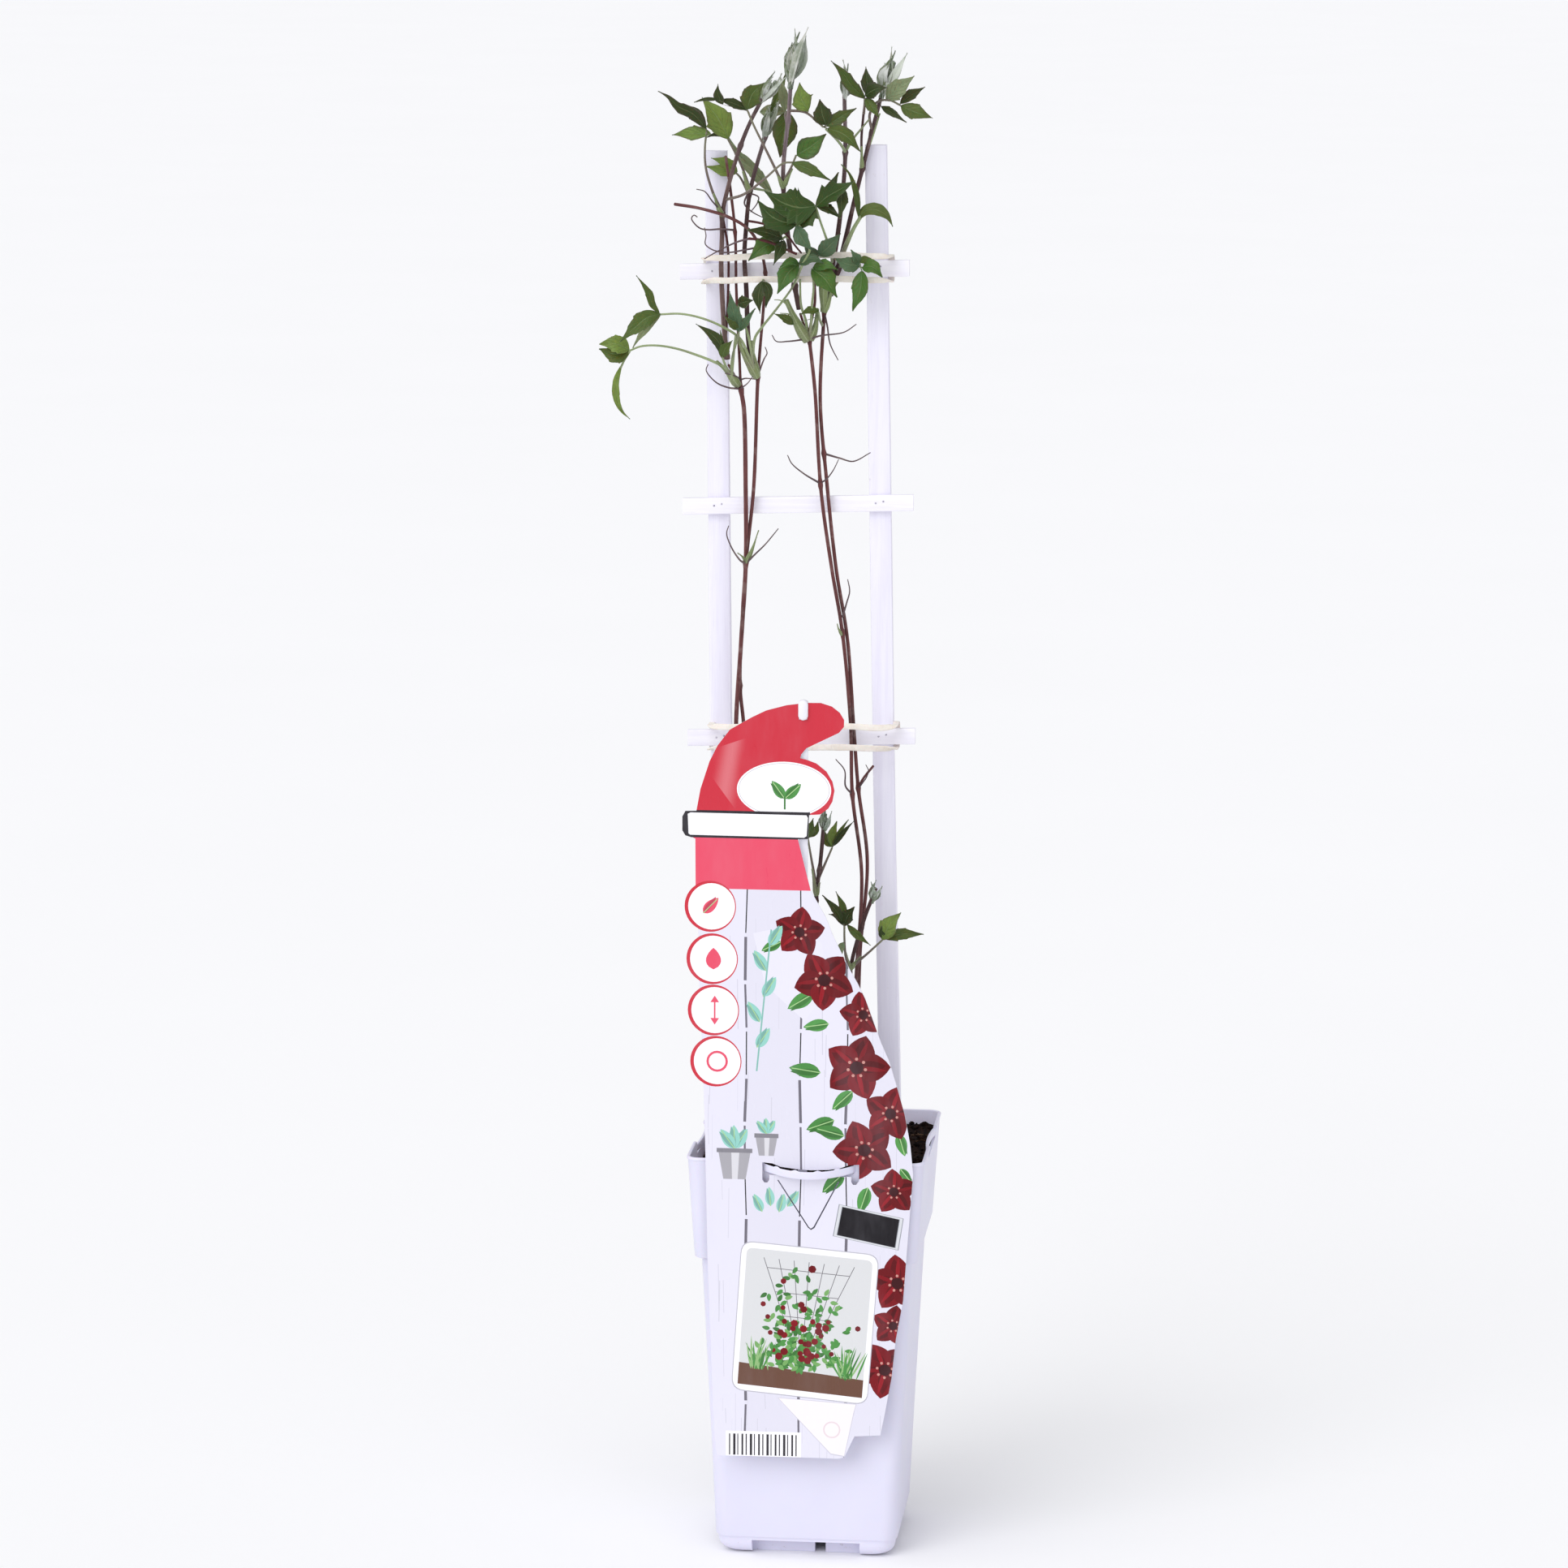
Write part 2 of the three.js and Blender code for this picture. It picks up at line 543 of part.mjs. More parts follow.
function makeStem({ radius, upper, node, route, twigs, tip }, grow) {
  const lower = upper ? route.slice(0, node + 1) : route;
  const main = rod(lower.map(at), radius + grow, 5, 18);
  const rest = twigs.map((twig) => rod(twig.map(at), TENDRIL_RADIUS + grow, 4, 10));
  if (upper) {
    rest.push(rod(route.slice(node - 1).map(at), upper + grow, 5, 18));
  }
  if (tip) {
    rest.push(makeTip(tip, grow));
  }
  return mainBody(joinAll([main, ...rest]));
}

// ---------------------------------------------------------------- compound leaves
// A stalk is a rod through drawn points. A blade is its width and the drawn points of its
// midrib; one that starts away from the stalk gets a short stalk of its own. Width 0 is a
// bare stalk.
const LEAVES = {
  leaf_far_left_upper: {
    stalk: [
      [-31.2, 597.5, 0.6], [-33, 600, -4], [-36, 607, -7], [-40, 615, -8], [-50, 621.4, -12],
      [-60, 625.2, -14], [-70, 627, -16], [-79.6, 626.6, -18],
    ],
    blades: [
      [7.6,
        [-80, 626.8, -18], [-86, 625, -20], [-91.5, 620.6, -22], [-96, 616.8, -23], [-100.4, 612.6, -24]
      ],
      [3.8, [-80, 626.2, -18], [-85, 622, -15], [-90, 616, -11], [-94, 609.2, -9]],
      [3.4,
        [-80.4, 627.2, -18], [-84, 631.4, -19], [-85.6, 636.4, -20], [-88.4, 641, -21], [-92, 645.8, -22]
      ],
    ],
  },
  leaf_far_left_lower: {
    stalk: [
      [-39.6, 591, -2.4], [-43, 594.6, -6], [-47, 600, -7], [-53, 603.2, -5], [-62, 606.6, 0],
      [-72, 609.6, 3], [-82, 611, 4], [-90, 610.4, 5], [-95.4, 608.2, 5],
    ],
    blades: [
      [8.2, [-95.6, 608.6, 5], [-103, 611.4, 2], [-110.8, 611.4, 2]],
      [8.6, [-95.6, 607.8, 5], [-103, 606.4, 4], [-110.8, 608.9, 3]],
      [5.4, [-97, 608.8, 5], [-101, 612.4, 7], [-104.7, 615.4, 9]],
      [0, [-95.6, 607.4, 5], [-98, 603.6, 6.5], [-99.9, 599.6, 8]],
      [3.7, [-99.7, 600.4, 8], [-101.8, 592, 9], [-101.4, 584, 10], [-99, 577.6, 12], [-95.4, 573.4, 14]],
    ],
  },
  leaf_left_fold: {
    stalk: [[-43, 593, -4], [-44.3, 600, -8], [-43.6, 607, -9], [-41.6, 614, -9.6], [-40.6, 618, -10]],
    blades: [
      [5.8, [-40.6, 618.6, -10], [-43.2, 628, -13], [-45.4, 638.4, -15]],
      [3.4, [-41.2, 619.6, -10], [-44.4, 622.8, -14], [-47.8, 626.2, -17]],
      [3.8, [-40, 619, -10], [-36.6, 623.8, -13], [-32.6, 630.2, -16]],
    ],
  },
  leaf_left_side: {
    stalk: [[-45.2, 597.6, -6.8], [-47.4, 601.6, -10], [-49, 606, -12]],
    blades: [
      [4.8, [-49, 606.6, -12], [-50.6, 612.6, -14], [-55, 617.4, -16], [-62, 622, -18]],
      [5.2, [-49, 605.4, -12], [-47.6, 609.6, -14], [-44, 614, -16]],
      [1.8, [-48.6, 609, -13], [-49.4, 614, -14.6], [-49.8, 619, -15]],
    ],
  },
  leaf_left_mid: {
    stalk: [[-33.6, 601, -4.8], [-34.6, 610, -7], [-37, 620, -8], [-40.4, 628, -9], [-40.8, 632, -9]],
    blades: [
      [5.6, [-41, 632.4, -9], [-37.6, 633.4, -11], [-33.8, 634.2, -13]],
    ],
  },
  leaf_mid_arch: {
    stalk: [
      [-32.4, 601.5, -1], [-33.4, 608, -5.6], [-32.4, 616, -8], [-29, 621, -9], [-24, 627.4, -9.6],
      [-18.6, 634.4, -10.4], [-14, 641, -11.4], [-11.4, 646.6, -12],
    ],
    blades: [
      [8.4, [-10.8, 652.6, -12.4], [-15.8, 648.4, -15], [-21.4, 637.6, -17]],
      [3.6, [-11, 652.8, -12.4], [-15.4, 653.6, -17], [-20.8, 650.4, -21]],
      [5.6, [-10.6, 652.6, -12.6], [-4.6, 655, -15], [1.6, 653.4, -16.4]],
    ],
  },
  leaf_mid_hanging: {
    stalk: [[-27.6, 643, 0.6], [-27.8, 644, -4], [-28.6, 644.4, -9]],
    blades: [
      [5.4, [-29, 644, -9], [-30.8, 636.4, -11], [-30.2, 627.6, -12]],
      [4.2, [-28.6, 643.6, -9.6], [-25.6, 638.8, -12], [-27.4, 630.6, -13]],
    ],
  },
  leaf_right_under: {
    stalk: [
      [-5.4, 615.4, -2.4], [-4.6, 622, -7], [-4.2, 632, -10.6], [-3.4, 641, -11.6], [-4, 649.6, -12],
    ],
    blades: [
      [9.8, [-4.4, 650.4, -12], [2, 645.4, -15], [8.3, 636.2, -17]],
      [5, [-3.6, 650.6, -12], [2.6, 652.4, -15], [8.6, 650, -17]],
    ],
  },
  leaf_node_small: {
    stalk: [[1.3, 622, 0.5], [-0.2, 625, -4], [-0.8, 628.6, -9]],
    blades: [
      [3.6, [-0.8, 629.4, -9], [-5, 629.6, -11], [-10, 627.6, -13]],
      [3.8, [-13.2, 622.6, -9], [-17.6, 625.4, -13], [-23, 627.8, -17]],
    ],
  },
  leaf_centre_low: {
    stalk: [
      [-12.8, 642.5, -2.9], [-9.6, 651, -12.6], [-5.4, 660, -15.4], [-7.4, 667, -17], [-11.4, 672.4, -18],
    ],
    blades: [
      [10, [-11.6, 672.6, -18], [-20, 673.6, -20], [-26, 677, -21], [-31.4, 683.8, -22]],
      [7, [-12.4, 671.4, -18], [-9, 665, -19.6], [-4.4, 659.4, -21]],
    ],
  },
  leaf_centre_high: {
    stalk: [[6, 653, -1.9], [4.6, 660.6, -9.6], [3, 665, -11], [-0.6, 675, -13], [-2.4, 681, -14]],
    blades: [
      [13.6, [-2.6, 681.4, -14], [-11, 680.4, -16.4], [-19, 682.6, -18], [-28, 688.9, -19]],
      [8.8, [-2.4, 681, -14], [3, 685.6, -16], [9.4, 689.4, -19], [16.6, 694.4, -21]],
      [4.6, [1.6, 685.6, -15], [5.4, 691, -14], [8.6, 698.4, -12]],
      [8.8, [-3.4, 681.8, -14], [-7.6, 675.4, -16], [-13, 668.4, -18]],
      [4.2, [-1.4, 681, -14.4], [4, 679.8, -17], [9.8, 675.6, -20]],
    ],
  },
  leaf_centre_tip: {
    stalk: [[10.2, 682, -1.3], [10, 687, -7], [9.4, 690, -10]],
    blades: [
      [5.8, [9.6, 691.4, -10], [10.2, 684, -18], [9.6, 675.6, -27]],
    ],
  },
  leaf_centre_left: {
    stalk: [[-16, 665.5, -3.5], [-17.6, 666, -7], [-19, 665, -9]],
    blades: [
      [6.6, [-19, 665, -9], [-27, 667.8, -15], [-36.6, 669.2, -19]],
      [8, [-20, 663.4, -9], [-28.6, 660.6, -12], [-36, 653.8, -14.6]],
      [5.2, [-18.4, 664, -9], [-20.4, 659, -15], [-23.4, 652, -19]],
    ],
  },
  leaf_teal: {
    stalk: [[7.6, 661.6, -2], [4.6, 660, -7], [1, 657.6, -11]],
    blades: [
      [7.6, [-0.6, 657, -11], [4.2, 661.6, -14], [9.8, 667.8, -16]],
      [4.2, [0.2, 657, -11], [-5, 659, -9.4], [-9, 663.6, -8]],
    ],
  },
  leaf_hook: {
    stalk: [[11, 658, 1.9], [13, 663, -4], [16.4, 670.6, -8], [20, 676.6, -10]],
    blades: [
      [6,
        [18.8, 675.4, -10], [22.4, 679.2, -10.8], [28.2, 679.6, -12], [33, 676.8, -12],
        [35.8, 671.6, -11]
      ],
      [2.8, [18.8, 676, -10], [18, 687, -11.6], [14.4, 697, -13], [10, 702, -14]],
    ],
  },
  leaf_right_cluster: {
    stalk: [[8.9, 651.5, 1.9], [12, 652, -4], [16, 652.4, -9], [20, 651.4, -12]],
    blades: [
      [8.4, [20.6, 649.6, -12], [20.2, 640, -14], [15.9, 629.6, -16]],
      [6.8, [19.6, 652, -12], [13.4, 652.8, -15], [6.8, 655.6, -17]],
      [6.4, [20.8, 651.4, -12], [26, 651.4, -15], [30.8, 646.6, -17]],
      [4.2, [19.4, 652.6, -11.6], [17.4, 656.6, -14], [15, 660, -15]],
      [3.4, [19.8, 653.6, -12], [22.4, 655.6, -13], [25, 656, -14]],
    ],
  },
  leaf_top_dark: {
    stalk: [[-49, 677.6, -4.3], [-54, 688, -9], [-57.4, 700, -12], [-57.8, 710, -14], [-57, 717.4, -15]],
    blades: [
      [5, [-57, 719, -15], [-63.4, 726, -18], [-71, 729.8, -20], [-76, 734.4, -21], [-81.4, 737.2, -21]],
      [6.8, [-55, 716.4, -15], [-64, 716.2, -11], [-74.4, 716, -9]],
      [3.6, [-57.4, 720, -15], [-62, 727, -13], [-67.6, 731, -11]],
    ],
  },
  leaf_top_long: {
    stalk: [
      [-47.4, 684, -4.8], [-38, 687, -15], [-28, 694.6, -21], [-18.6, 702.4, -24], [-14.4, 702.8, -24],
    ],
    blades: [
      [5.4, [-14.4, 702.8, -24], [-6.4, 699.6, -27], [4.8, 694.2, -29]],
    ],
  },
  leaf_top_bright: {
    stalk: [[-35.2, 689, 3.2], [-39.6, 701, 0], [-44, 709.6, 1], [-46.4, 714, 1.4]],
    blades: [
      [11, [-46, 714.4, 1.4], [-51.6, 724.6, -1], [-59.4, 734.4, -3]],
      [2.6, [-46, 715.4, 1.4], [-52, 716.2, 3], [-57, 714.8, 4]],
    ],
  },
  leaf_top_low: {
    stalk: [[-35.6, 686, 2.9], [-38.4, 692, 4], [-40.4, 695.4, 4.2], [-42.4, 697.4, 4.6]],
    blades: [
      [4.8, [-41.6, 698, 4.6], [-47.6, 702.4, 4.6], [-54.8, 704.6, 4.6]],
      [5.2, [-42, 697.2, 4.6], [-49, 698.6, 5], [-57.4, 700.4, 5]],
    ],
  },
  leaf_top_grey: {
    stalk: [[-34.8, 690, 3.4], [-29, 689, 9], [-25.4, 688.4, 11]],
    blades: [
      [7.4, [-24.4, 687.8, 11], [-33, 698.4, 14], [-40.4, 706, 17], [-46.6, 715.4, 19]],
    ],
  },
  leaf_top_tooth: {
    stalk: [
      [-18.7, 691, -6.1], [-22, 698, -10], [-28, 710, -13], [-33.4, 720.6, -15], [-36.6, 728, -15.4],
    ],
    blades: [
      [8.6, [-36.8, 728.6, -15.4], [-34.4, 736, -17], [-28.4, 742, -18]],
      [4.4, [-37, 728.8, -15.4], [-44, 731.6, -18], [-52, 733.8, -20]],
      [4.4, [-49, 731, -19], [-51.2, 736, -20], [-51.6, 741, -21]],
      [1.8, [-51.4, 733.4, -20], [-57.6, 733.4, -21], [-63.4, 732, -21]],
    ],
  },
  leaf_top_small: {
    stalk: [[-26.2, 717.2, 6.1], [-26, 721.6, 10.4], [-27, 724.6, 12]],
    blades: [
      [6, [-30.4, 727.4, 12], [-23, 728, 14], [-15.6, 727, 15]],
      [4.2, [-25, 727, 12], [-21.6, 736, 14], [-17.4, 747, 16]],
    ],
  },
  leaf_top_centre: {
    stalk: [[-18.7, 693.4, -6.2], [-15, 700, -11], [-12.4, 706.4, -12]],
    blades: [
      [9.8, [-12.2, 706.4, -12], [-5, 710.8, -14], [2.4, 717, -16]],
    ],
  },
  leaf_crown_left: {
    stalk: [[-16.7, 721.6, -8.7], [-18, 726, -4], [-17.6, 727.6, 0]],
    blades: [
      [11.4, [-16.8, 728, 0], [-18.6, 716, 0.4], [-20.6, 705.2, 1]],
      [4.6, [-17.8, 728, 0], [-19, 737, 2], [-20.4, 745, 3]],
    ],
  },
  leaf_crown_centre: {
    stalk: [[-16, 728.4, -9.3], [-8, 727.6, -13], [-3, 724, -14], [1, 720.4, -14]],
    blades: [
      [9.4, [-6.4, 728.4, -13.4], [-10.2, 734.4, -15], [-10.6, 742, -17]],
      [8.4, [2.2, 721.4, -14], [0.4, 727, -16], [-0.8, 734, -18]],
      [5.6, [2.6, 720.8, -14], [10.4, 726, -13], [17.4, 730, -12]],
      [6.6, [3, 719.8, -14], [11.6, 716.6, -17], [19.8, 708.4, -19]],
    ],
  },
  leaf_crown_right: {
    stalk: [[21, 727, 0], [21.4, 732, 1], [21.4, 734.6, 1]],
    blades: [
      [5.6, [21.4, 735, 1], [15.4, 740.4, -2], [10.4, 747.4, -3], [4.6, 753, -4]],
      [5.6, [24, 735.4, 1], [22.6, 743, 4], [21.8, 750.4, 6]],
      [5, [22, 734.6, 1], [25, 730.4, -2], [28.6, 725.4, -5]],
      [6.8, [21.4, 736, 1], [26.4, 739, -2], [32.6, 740.2, -4]],
    ],
  },
  leaf_arch_right: {
    stalk: [[25.2, 718.6, 6.8], [24, 727, 3], [27.6, 733, 2.6], [33.5, 734, 2.6], [39, 731.6, 2]],
    blades: [
      [9.4, [32, 733.6, 3], [37.6, 739.4, 2], [45.8, 746, 0]],
      [4.8, [39, 732.4, 2], [44.6, 736.6, 4], [51.2, 740.8, 6]],
      [7.6, [39.4, 731, 2], [47, 727.8, 0], [55, 725.8, -2]],
      [3.4, [29.6, 731, 3.4], [35.4, 727.4, 0], [42, 723.4, -4]],
    ],
  },
  leaf_low_left: {
    stalk: [[-0.9, 341, -18], [-3, 352, -21], [-4.8, 362.4, -22]],
    blades: [
      [4.6, [-4.6, 363, -22], [-3.6, 368, -24], [-2.2, 373, -25]],
      [3.4, [-4, 363.4, -22], [-1, 366.8, -21], [0.3, 371.4, -20]],
    ],
  },
  leaf_low_middle: {
    stalk: [[0.6, 342, -18], [4, 350, -14], [7.4, 358, -11]],
    blades: [
      [4, [7.4, 358.6, -11], [4.8, 362, -10], [3.6, 366.8, -9]],
      [4.6, [7.5, 358.8, -11], [7.4, 365, -10], [9.8, 371.8, -9]],
      [2.6, [8, 359.6, -11], [11.4, 365.8, -12], [15.4, 372.8, -13]],
      [2.8, [8, 359, -11], [12.6, 365, -13], [18.2, 372.2, -14]],
    ],
  },
  leaf_low_right: {
    stalk: [[17.3, 296.4, -14], [20.6, 299.6, -17], [25, 303.4, -18], [33, 311, -20]],
    blades: [
      [8.6, [33.4, 311.6, -20], [36.8, 318.8, -22], [42.3, 325.6, -23]],
      [5.2, [34.6, 312, -20], [43.6, 314.6, -18], [54.2, 314.6, -17]],
      [3, [33.4, 312, -20], [32.8, 315, -21], [32.6, 318.4, -22]],
    ],
  },
  leaf_low_centre: {
    stalk: [[17.1, 294, -14], [14.6, 303, -20], [14, 311, -21.6], [13.9, 318, -22]],
    blades: [
      [4, [13.2, 319.4, -22], [9.4, 325.8, -24], [2.8, 333.6, -26]],
      [3.4, [13.8, 319.6, -22], [12.8, 328, -20], [9.5, 335.8, -18]],
      [3.6, [15.4, 318.6, -22], [20, 313.8, -24], [27.2, 308.4, -27]],
      [6, [13.9, 318.6, -22], [15.8, 323.4, -23], [19, 328, -24]],
      [3, [13.6, 318.4, -22], [10, 323, -20], [5.8, 324, -18]],
      [3.4, [14, 309.6, -21.4], [12, 306.4, -23], [12.8, 301.6, -25]],
    ],
  },
};

function makeLeaf({ stalk, blades }, grow) {
  const line = stalk.map(at);
  const end = line[line.length - 1];
  const parts = [rod(line, STALK_RADIUS + grow, 4, 18)];
  let last = end;
  let tilt = 0.6;
  for (const [width, ...places] of blades) {
    const midrib = places.map(at);
    const [base, next] = midrib;
    const near = [end, last, ...line].reduce((best, p) => (
      p.distanceTo(base) < best.distanceTo(base) ? p : best));
    if (near.distanceTo(base) > 0.9) {
      const reach = base.clone().lerp(next, 0.12);
      parts.push(rod([near, reach], STALK_RADIUS + grow, 4, 100));
    }
    last = midrib[midrib.length - 1];
    if (width === 0) {
      parts.push(rod(midrib, STALK_RADIUS + grow, 4, 18));
      continue;
    }
    const swing = base.x > end.x ? 0.35 : -0.35;
    parts.push(blade(midrib, width, grow, new THREE.Vector3(swing, -1, tilt)));
    tilt -= 0.45;
  }
  return mainBody(joinAll(parts));
}

// ---------------------------------------------------------------- soil
function makeSoil() {
  const step = POT_HEIGHT - COLLAR_HEIGHT + WALL;
  const inset = WALL + GAP + 0.1;
  const column = taper(SOIL_LOW, BODY_LOW_HALF - LEDGE - inset, step + 4, BODY_TOP_HALF - inset, 6.8);
  const crown = taper(step + GAP, COLLAR_LOW_HALF - inset, POT_HEIGHT, COLLAR_TOP_HALF - inset, 5.2);
  const size = 2 * RIM_HALF;
  const hills = new THREE.BoxGeometry(size, size, 60, 7, 7, 1);
  const position = hills.attributes.position;
  for (let i = 0; i < position.count; i += 1) {
    const x = position.getX(i);
    const y = position.getY(i);
    const lump = 1.3 * Math.sin(0.13 * x + 1.1) * Math.cos(0.11 * y) + 1.1 * Math.sin(0.31 * x - 0.24 * y);
    const height = Math.min(SOIL_TOP + 2 + 0.04 * y + 0.012 * x + lump, STRAP_LOW - GAP);
    position.setZ(i, position.getZ(i) > 0 ? height : step - 10);
  }
  const top = crown.intersect(solidOf(hills));
  return mainBody(column.add(top));
}

// ---------------------------------------------------------------- colours
function paint(color, roughness, metalness = 0) {
  return new THREE.MeshStandardMaterial({ color, roughness, metalness });
}

const potPlastic = paint(0xece9ee, 0.45);
const trellisWood = paint(0xeceaf0, 0.6);
const soilPeat = paint(0x3a2a20, 0.95);
const bandRubber = paint(0xe1dad0, 0.55);
const cardPrint = paint(0xd8455a, 0.35);
const stakePlastic = paint(0xf2f2f2, 0.4);
const stemBark = paint(0x6a3230, 0.7);
const shootBark = paint(0x5c4238, 0.7);
const dryBark = paint(0x5f2326, 0.85);
const tipDown = paint(0x93a07c, 0.9);
const leafGreen = paint(0x4a6b30, 0.6);

// ---------------------------------------------------------------- assembly
const plant = new THREE.Group();
plant.position.set(POT_OFFSET[0], POT_OFFSET[1], 0);
const taken = [];

function touches(a, b) {
  return [0, 1, 2].every((i) => a.min[i] < b.max[i] && b.min[i] < a.max[i]);
}

function geometryOf(solid) {
  const mesh = solid.getMesh();
  const geometry = new THREE.BufferGeometry();
  geometry.setAttribute('position', new THREE.BufferAttribute(mesh.vertProperties, 3));
  geometry.setIndex(new THREE.BufferAttribute(mesh.triVerts, 1));
  geometry.computeVertexNormals();
  return geometry;
}

// Adds a piece, cut back by GAP wherever an earlier piece already stands.
function place(name, material, solid, swollen) {
  let piece = solid;
  for (const other of taken) {
    if (touches(piece.boundingBox(), other.boundingBox())) {
      piece = piece.subtract(other);
    }
  }
  piece = mainBody(piece);
  if (swollen) {
    taken.push(swollen);
  }
  const mesh = new THREE.Mesh(geometryOf(piece), material);
  mesh.name = name;
  plant.add(mesh);
}

place('pot', potPlastic, makePot(), null);
for (const [name, data] of Object.entries(UPRIGHTS)) {
  place(name, trellisWood, makeUpright(data, 0), makeUpright(data, GAP));
}
for (const [name, data] of Object.entries(RUNGS)) {
  place(name, trellisWood, makeRung(data, 0), makeRung(data, GAP));
}
place('label_card', cardPrint, makeCard(), null);
place('label_stake', stakePlastic, makeStake(0), makeStake(GAP));
for (const [name, data] of Object.entries(STEMS)) {
  const bark = name.startsWith('stem') ? stemBark : name.startsWith('dry') ? dryBark : shootBark;
  place(name, bark, makeStem(data, 0), makeStem(data, GAP));
}
for (const [name, data] of Object.entries(BANDS)) {
  place(name, bandRubber, makeBand(data, 0), makeBand(data, GAP));
}
for (const [name, data] of Object.entries(TIPS)) {
  place(name, tipDown, makeTip(data, 0), makeTip(data, GAP));
}
for (const [name, data] of Object.entries(LEAVES)) {
  place(name, leafGreen, makeLeaf(data, 0), makeLeaf(data, GAP));
}
place('soil', soilPeat, makeSoil(), null);

export default plant;
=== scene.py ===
"""A young clematis on a small ladder trellis, in its square garden-centre pot with a hang card.

Shapes are worked out in millimetres about the centre of the pot's foot, +Z up and the front
towards -Y, and are moved into the frame when their meshes are made.
"""
import math
import random

import bpy
from mathutils import Matrix, Vector, noise
from mathutils.geometry import delaunay_2d_cdt


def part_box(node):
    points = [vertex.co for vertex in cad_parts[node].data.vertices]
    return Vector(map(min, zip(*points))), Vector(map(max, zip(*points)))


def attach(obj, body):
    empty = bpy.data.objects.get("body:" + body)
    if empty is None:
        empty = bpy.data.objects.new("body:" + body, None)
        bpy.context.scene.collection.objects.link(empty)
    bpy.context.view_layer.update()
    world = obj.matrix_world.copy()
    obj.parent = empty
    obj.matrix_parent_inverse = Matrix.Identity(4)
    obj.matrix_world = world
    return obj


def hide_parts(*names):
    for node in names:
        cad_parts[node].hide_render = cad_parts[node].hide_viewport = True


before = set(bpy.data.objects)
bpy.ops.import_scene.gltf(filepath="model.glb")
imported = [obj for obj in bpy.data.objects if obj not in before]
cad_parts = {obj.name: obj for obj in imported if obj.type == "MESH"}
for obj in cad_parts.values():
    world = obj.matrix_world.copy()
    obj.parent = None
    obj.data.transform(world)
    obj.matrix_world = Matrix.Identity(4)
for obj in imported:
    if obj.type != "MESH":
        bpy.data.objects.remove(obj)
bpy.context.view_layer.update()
MM = 0.001  # metres in a millimetre
RIM_HALF = 0.060  # half width of the pot's rim, in metres
POT_LOW, POT_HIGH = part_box("pot")
POT_CENTRE = Vector(((POT_LOW.x + POT_HIGH.x) / 2, POT_HIGH.y - RIM_HALF, 0.0))
DICE = random.Random(7)

# Plant routes are drawn on the plane y = 0. A point in front of the plane or behind it keeps to
# the straight line from its drawn place to this station point, which is also the camera's place.
STATION = Vector((270.8, -2939.4, 916.7))


def at(point):
    """Place of a drawn point (x, z, y), in millimetres."""
    x, z, y = point
    reach = 1 - y / STATION.y
    return Vector((STATION.x + (x - STATION.x) * reach, y, STATION.z + (z - STATION.z) * reach))


def spots(text):
    """Tuples of numbers from a text with a comma between one and the next."""
    return [tuple(float(part) for part in spot.split()) for spot in text.split(",")]


def drawn(text):
    """Places of the drawn points in a text."""
    return [at(point) for point in spots(text)]


def table(text):
    """Rows of each piece in a table of text: the words before the bar and the text behind it.

    A row at the margin opens a piece by its name, and a comma at a line's end carries it on.
    """
    pieces = {}
    for line in text.strip().replace(",\n", ",").splitlines():
        words, rest = line.split("|")
        if line[0] != " ":
            name, *values = words.split()
            pieces[name] = [(values, rest)]
        else:
            pieces[name].append((words.split(), rest))
    return pieces


def linear(text):
    """Linear colour of a hexadecimal sRGB one."""
    shares = [int(text[i:i + 2], 16) / 255 for i in (0, 2, 4)]
    return Vector([c / 12.92 if c <= 0.04045 else ((c + 0.055) / 1.055) ** 2.4 for c in shares])


def ease(low, high, value):
    """0 below low, 1 above high, and a smooth step between."""
    t = min(1.0, max(0.0, (value - low) / (high - low)))
    return t * t * (3 - 2 * t)


# ---------------------------------------------------------------- meshes
class Shape:
    """Vertices and faces gathered in millimetres, with a finish, a map place and a tint each."""

    def __init__(self):
        self.verts, self.faces, self.finish, self.maps, self.tints = [], [], [], [], []

    def add(self, verts, faces, finish=0, maps=None, tint=(1, 1, 1)):
        base = len(self.verts)
        self.verts += verts
        self.faces += [tuple(base + i for i in face) for face in faces]
        self.finish += [finish] * len(faces)
        self.maps += maps if maps else [(0.0, 0.0)] * len(verts)
        self.tints += tint if isinstance(tint, list) else [tint] * len(verts)

    def add_turned(self, part, quarter):
        """Adds another shape, turned about the pot's axis by quarter turns."""
        spin = Matrix.Rotation(quarter * math.pi / 2, 3, "Z")
        self.add([spin @ v for v in part.verts], part.faces)

    def mesh(self, name):
        made = bpy.data.meshes.new(name)
        made.from_pydata([POT_CENTRE + v * MM for v in self.verts], [], self.faces)
        return made

    def build(self, name, materials, nodes, sharp=40.0):
        """The mesh object, which stands for the given CAD nodes and rides on the root."""
        mesh = self.mesh(name)
        for material in materials:
            mesh.materials.append(material)
        mesh.polygons.foreach_set("material_index", self.finish)
        mesh.polygons.foreach_set("use_smooth", [True] * len(self.faces))
        corners = [0] * len(mesh.loops)
        mesh.loops.foreach_get("vertex_index", corners)
        layer = mesh.uv_layers.new(name="map")
        layer.data.foreach_set("uv", [c for i in corners for c in self.maps[i]])
        tint = mesh.color_attributes.new("tint", "FLOAT_COLOR", "POINT")
        tint.data.foreach_set("color", [c for t in self.tints for c in (*t, 1.0)])
        mesh.set_sharp_from_angle(angle=math.radians(sharp))
        mesh.validate()
        obj = placed(name, mesh)
        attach(obj, "root")
        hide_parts(*nodes)
        return obj


def placed(name, data):
    """A new object of the scene that holds the data."""
    obj = bpy.data.objects.new(name, data)
    bpy.context.collection.objects.link(obj)
    return obj


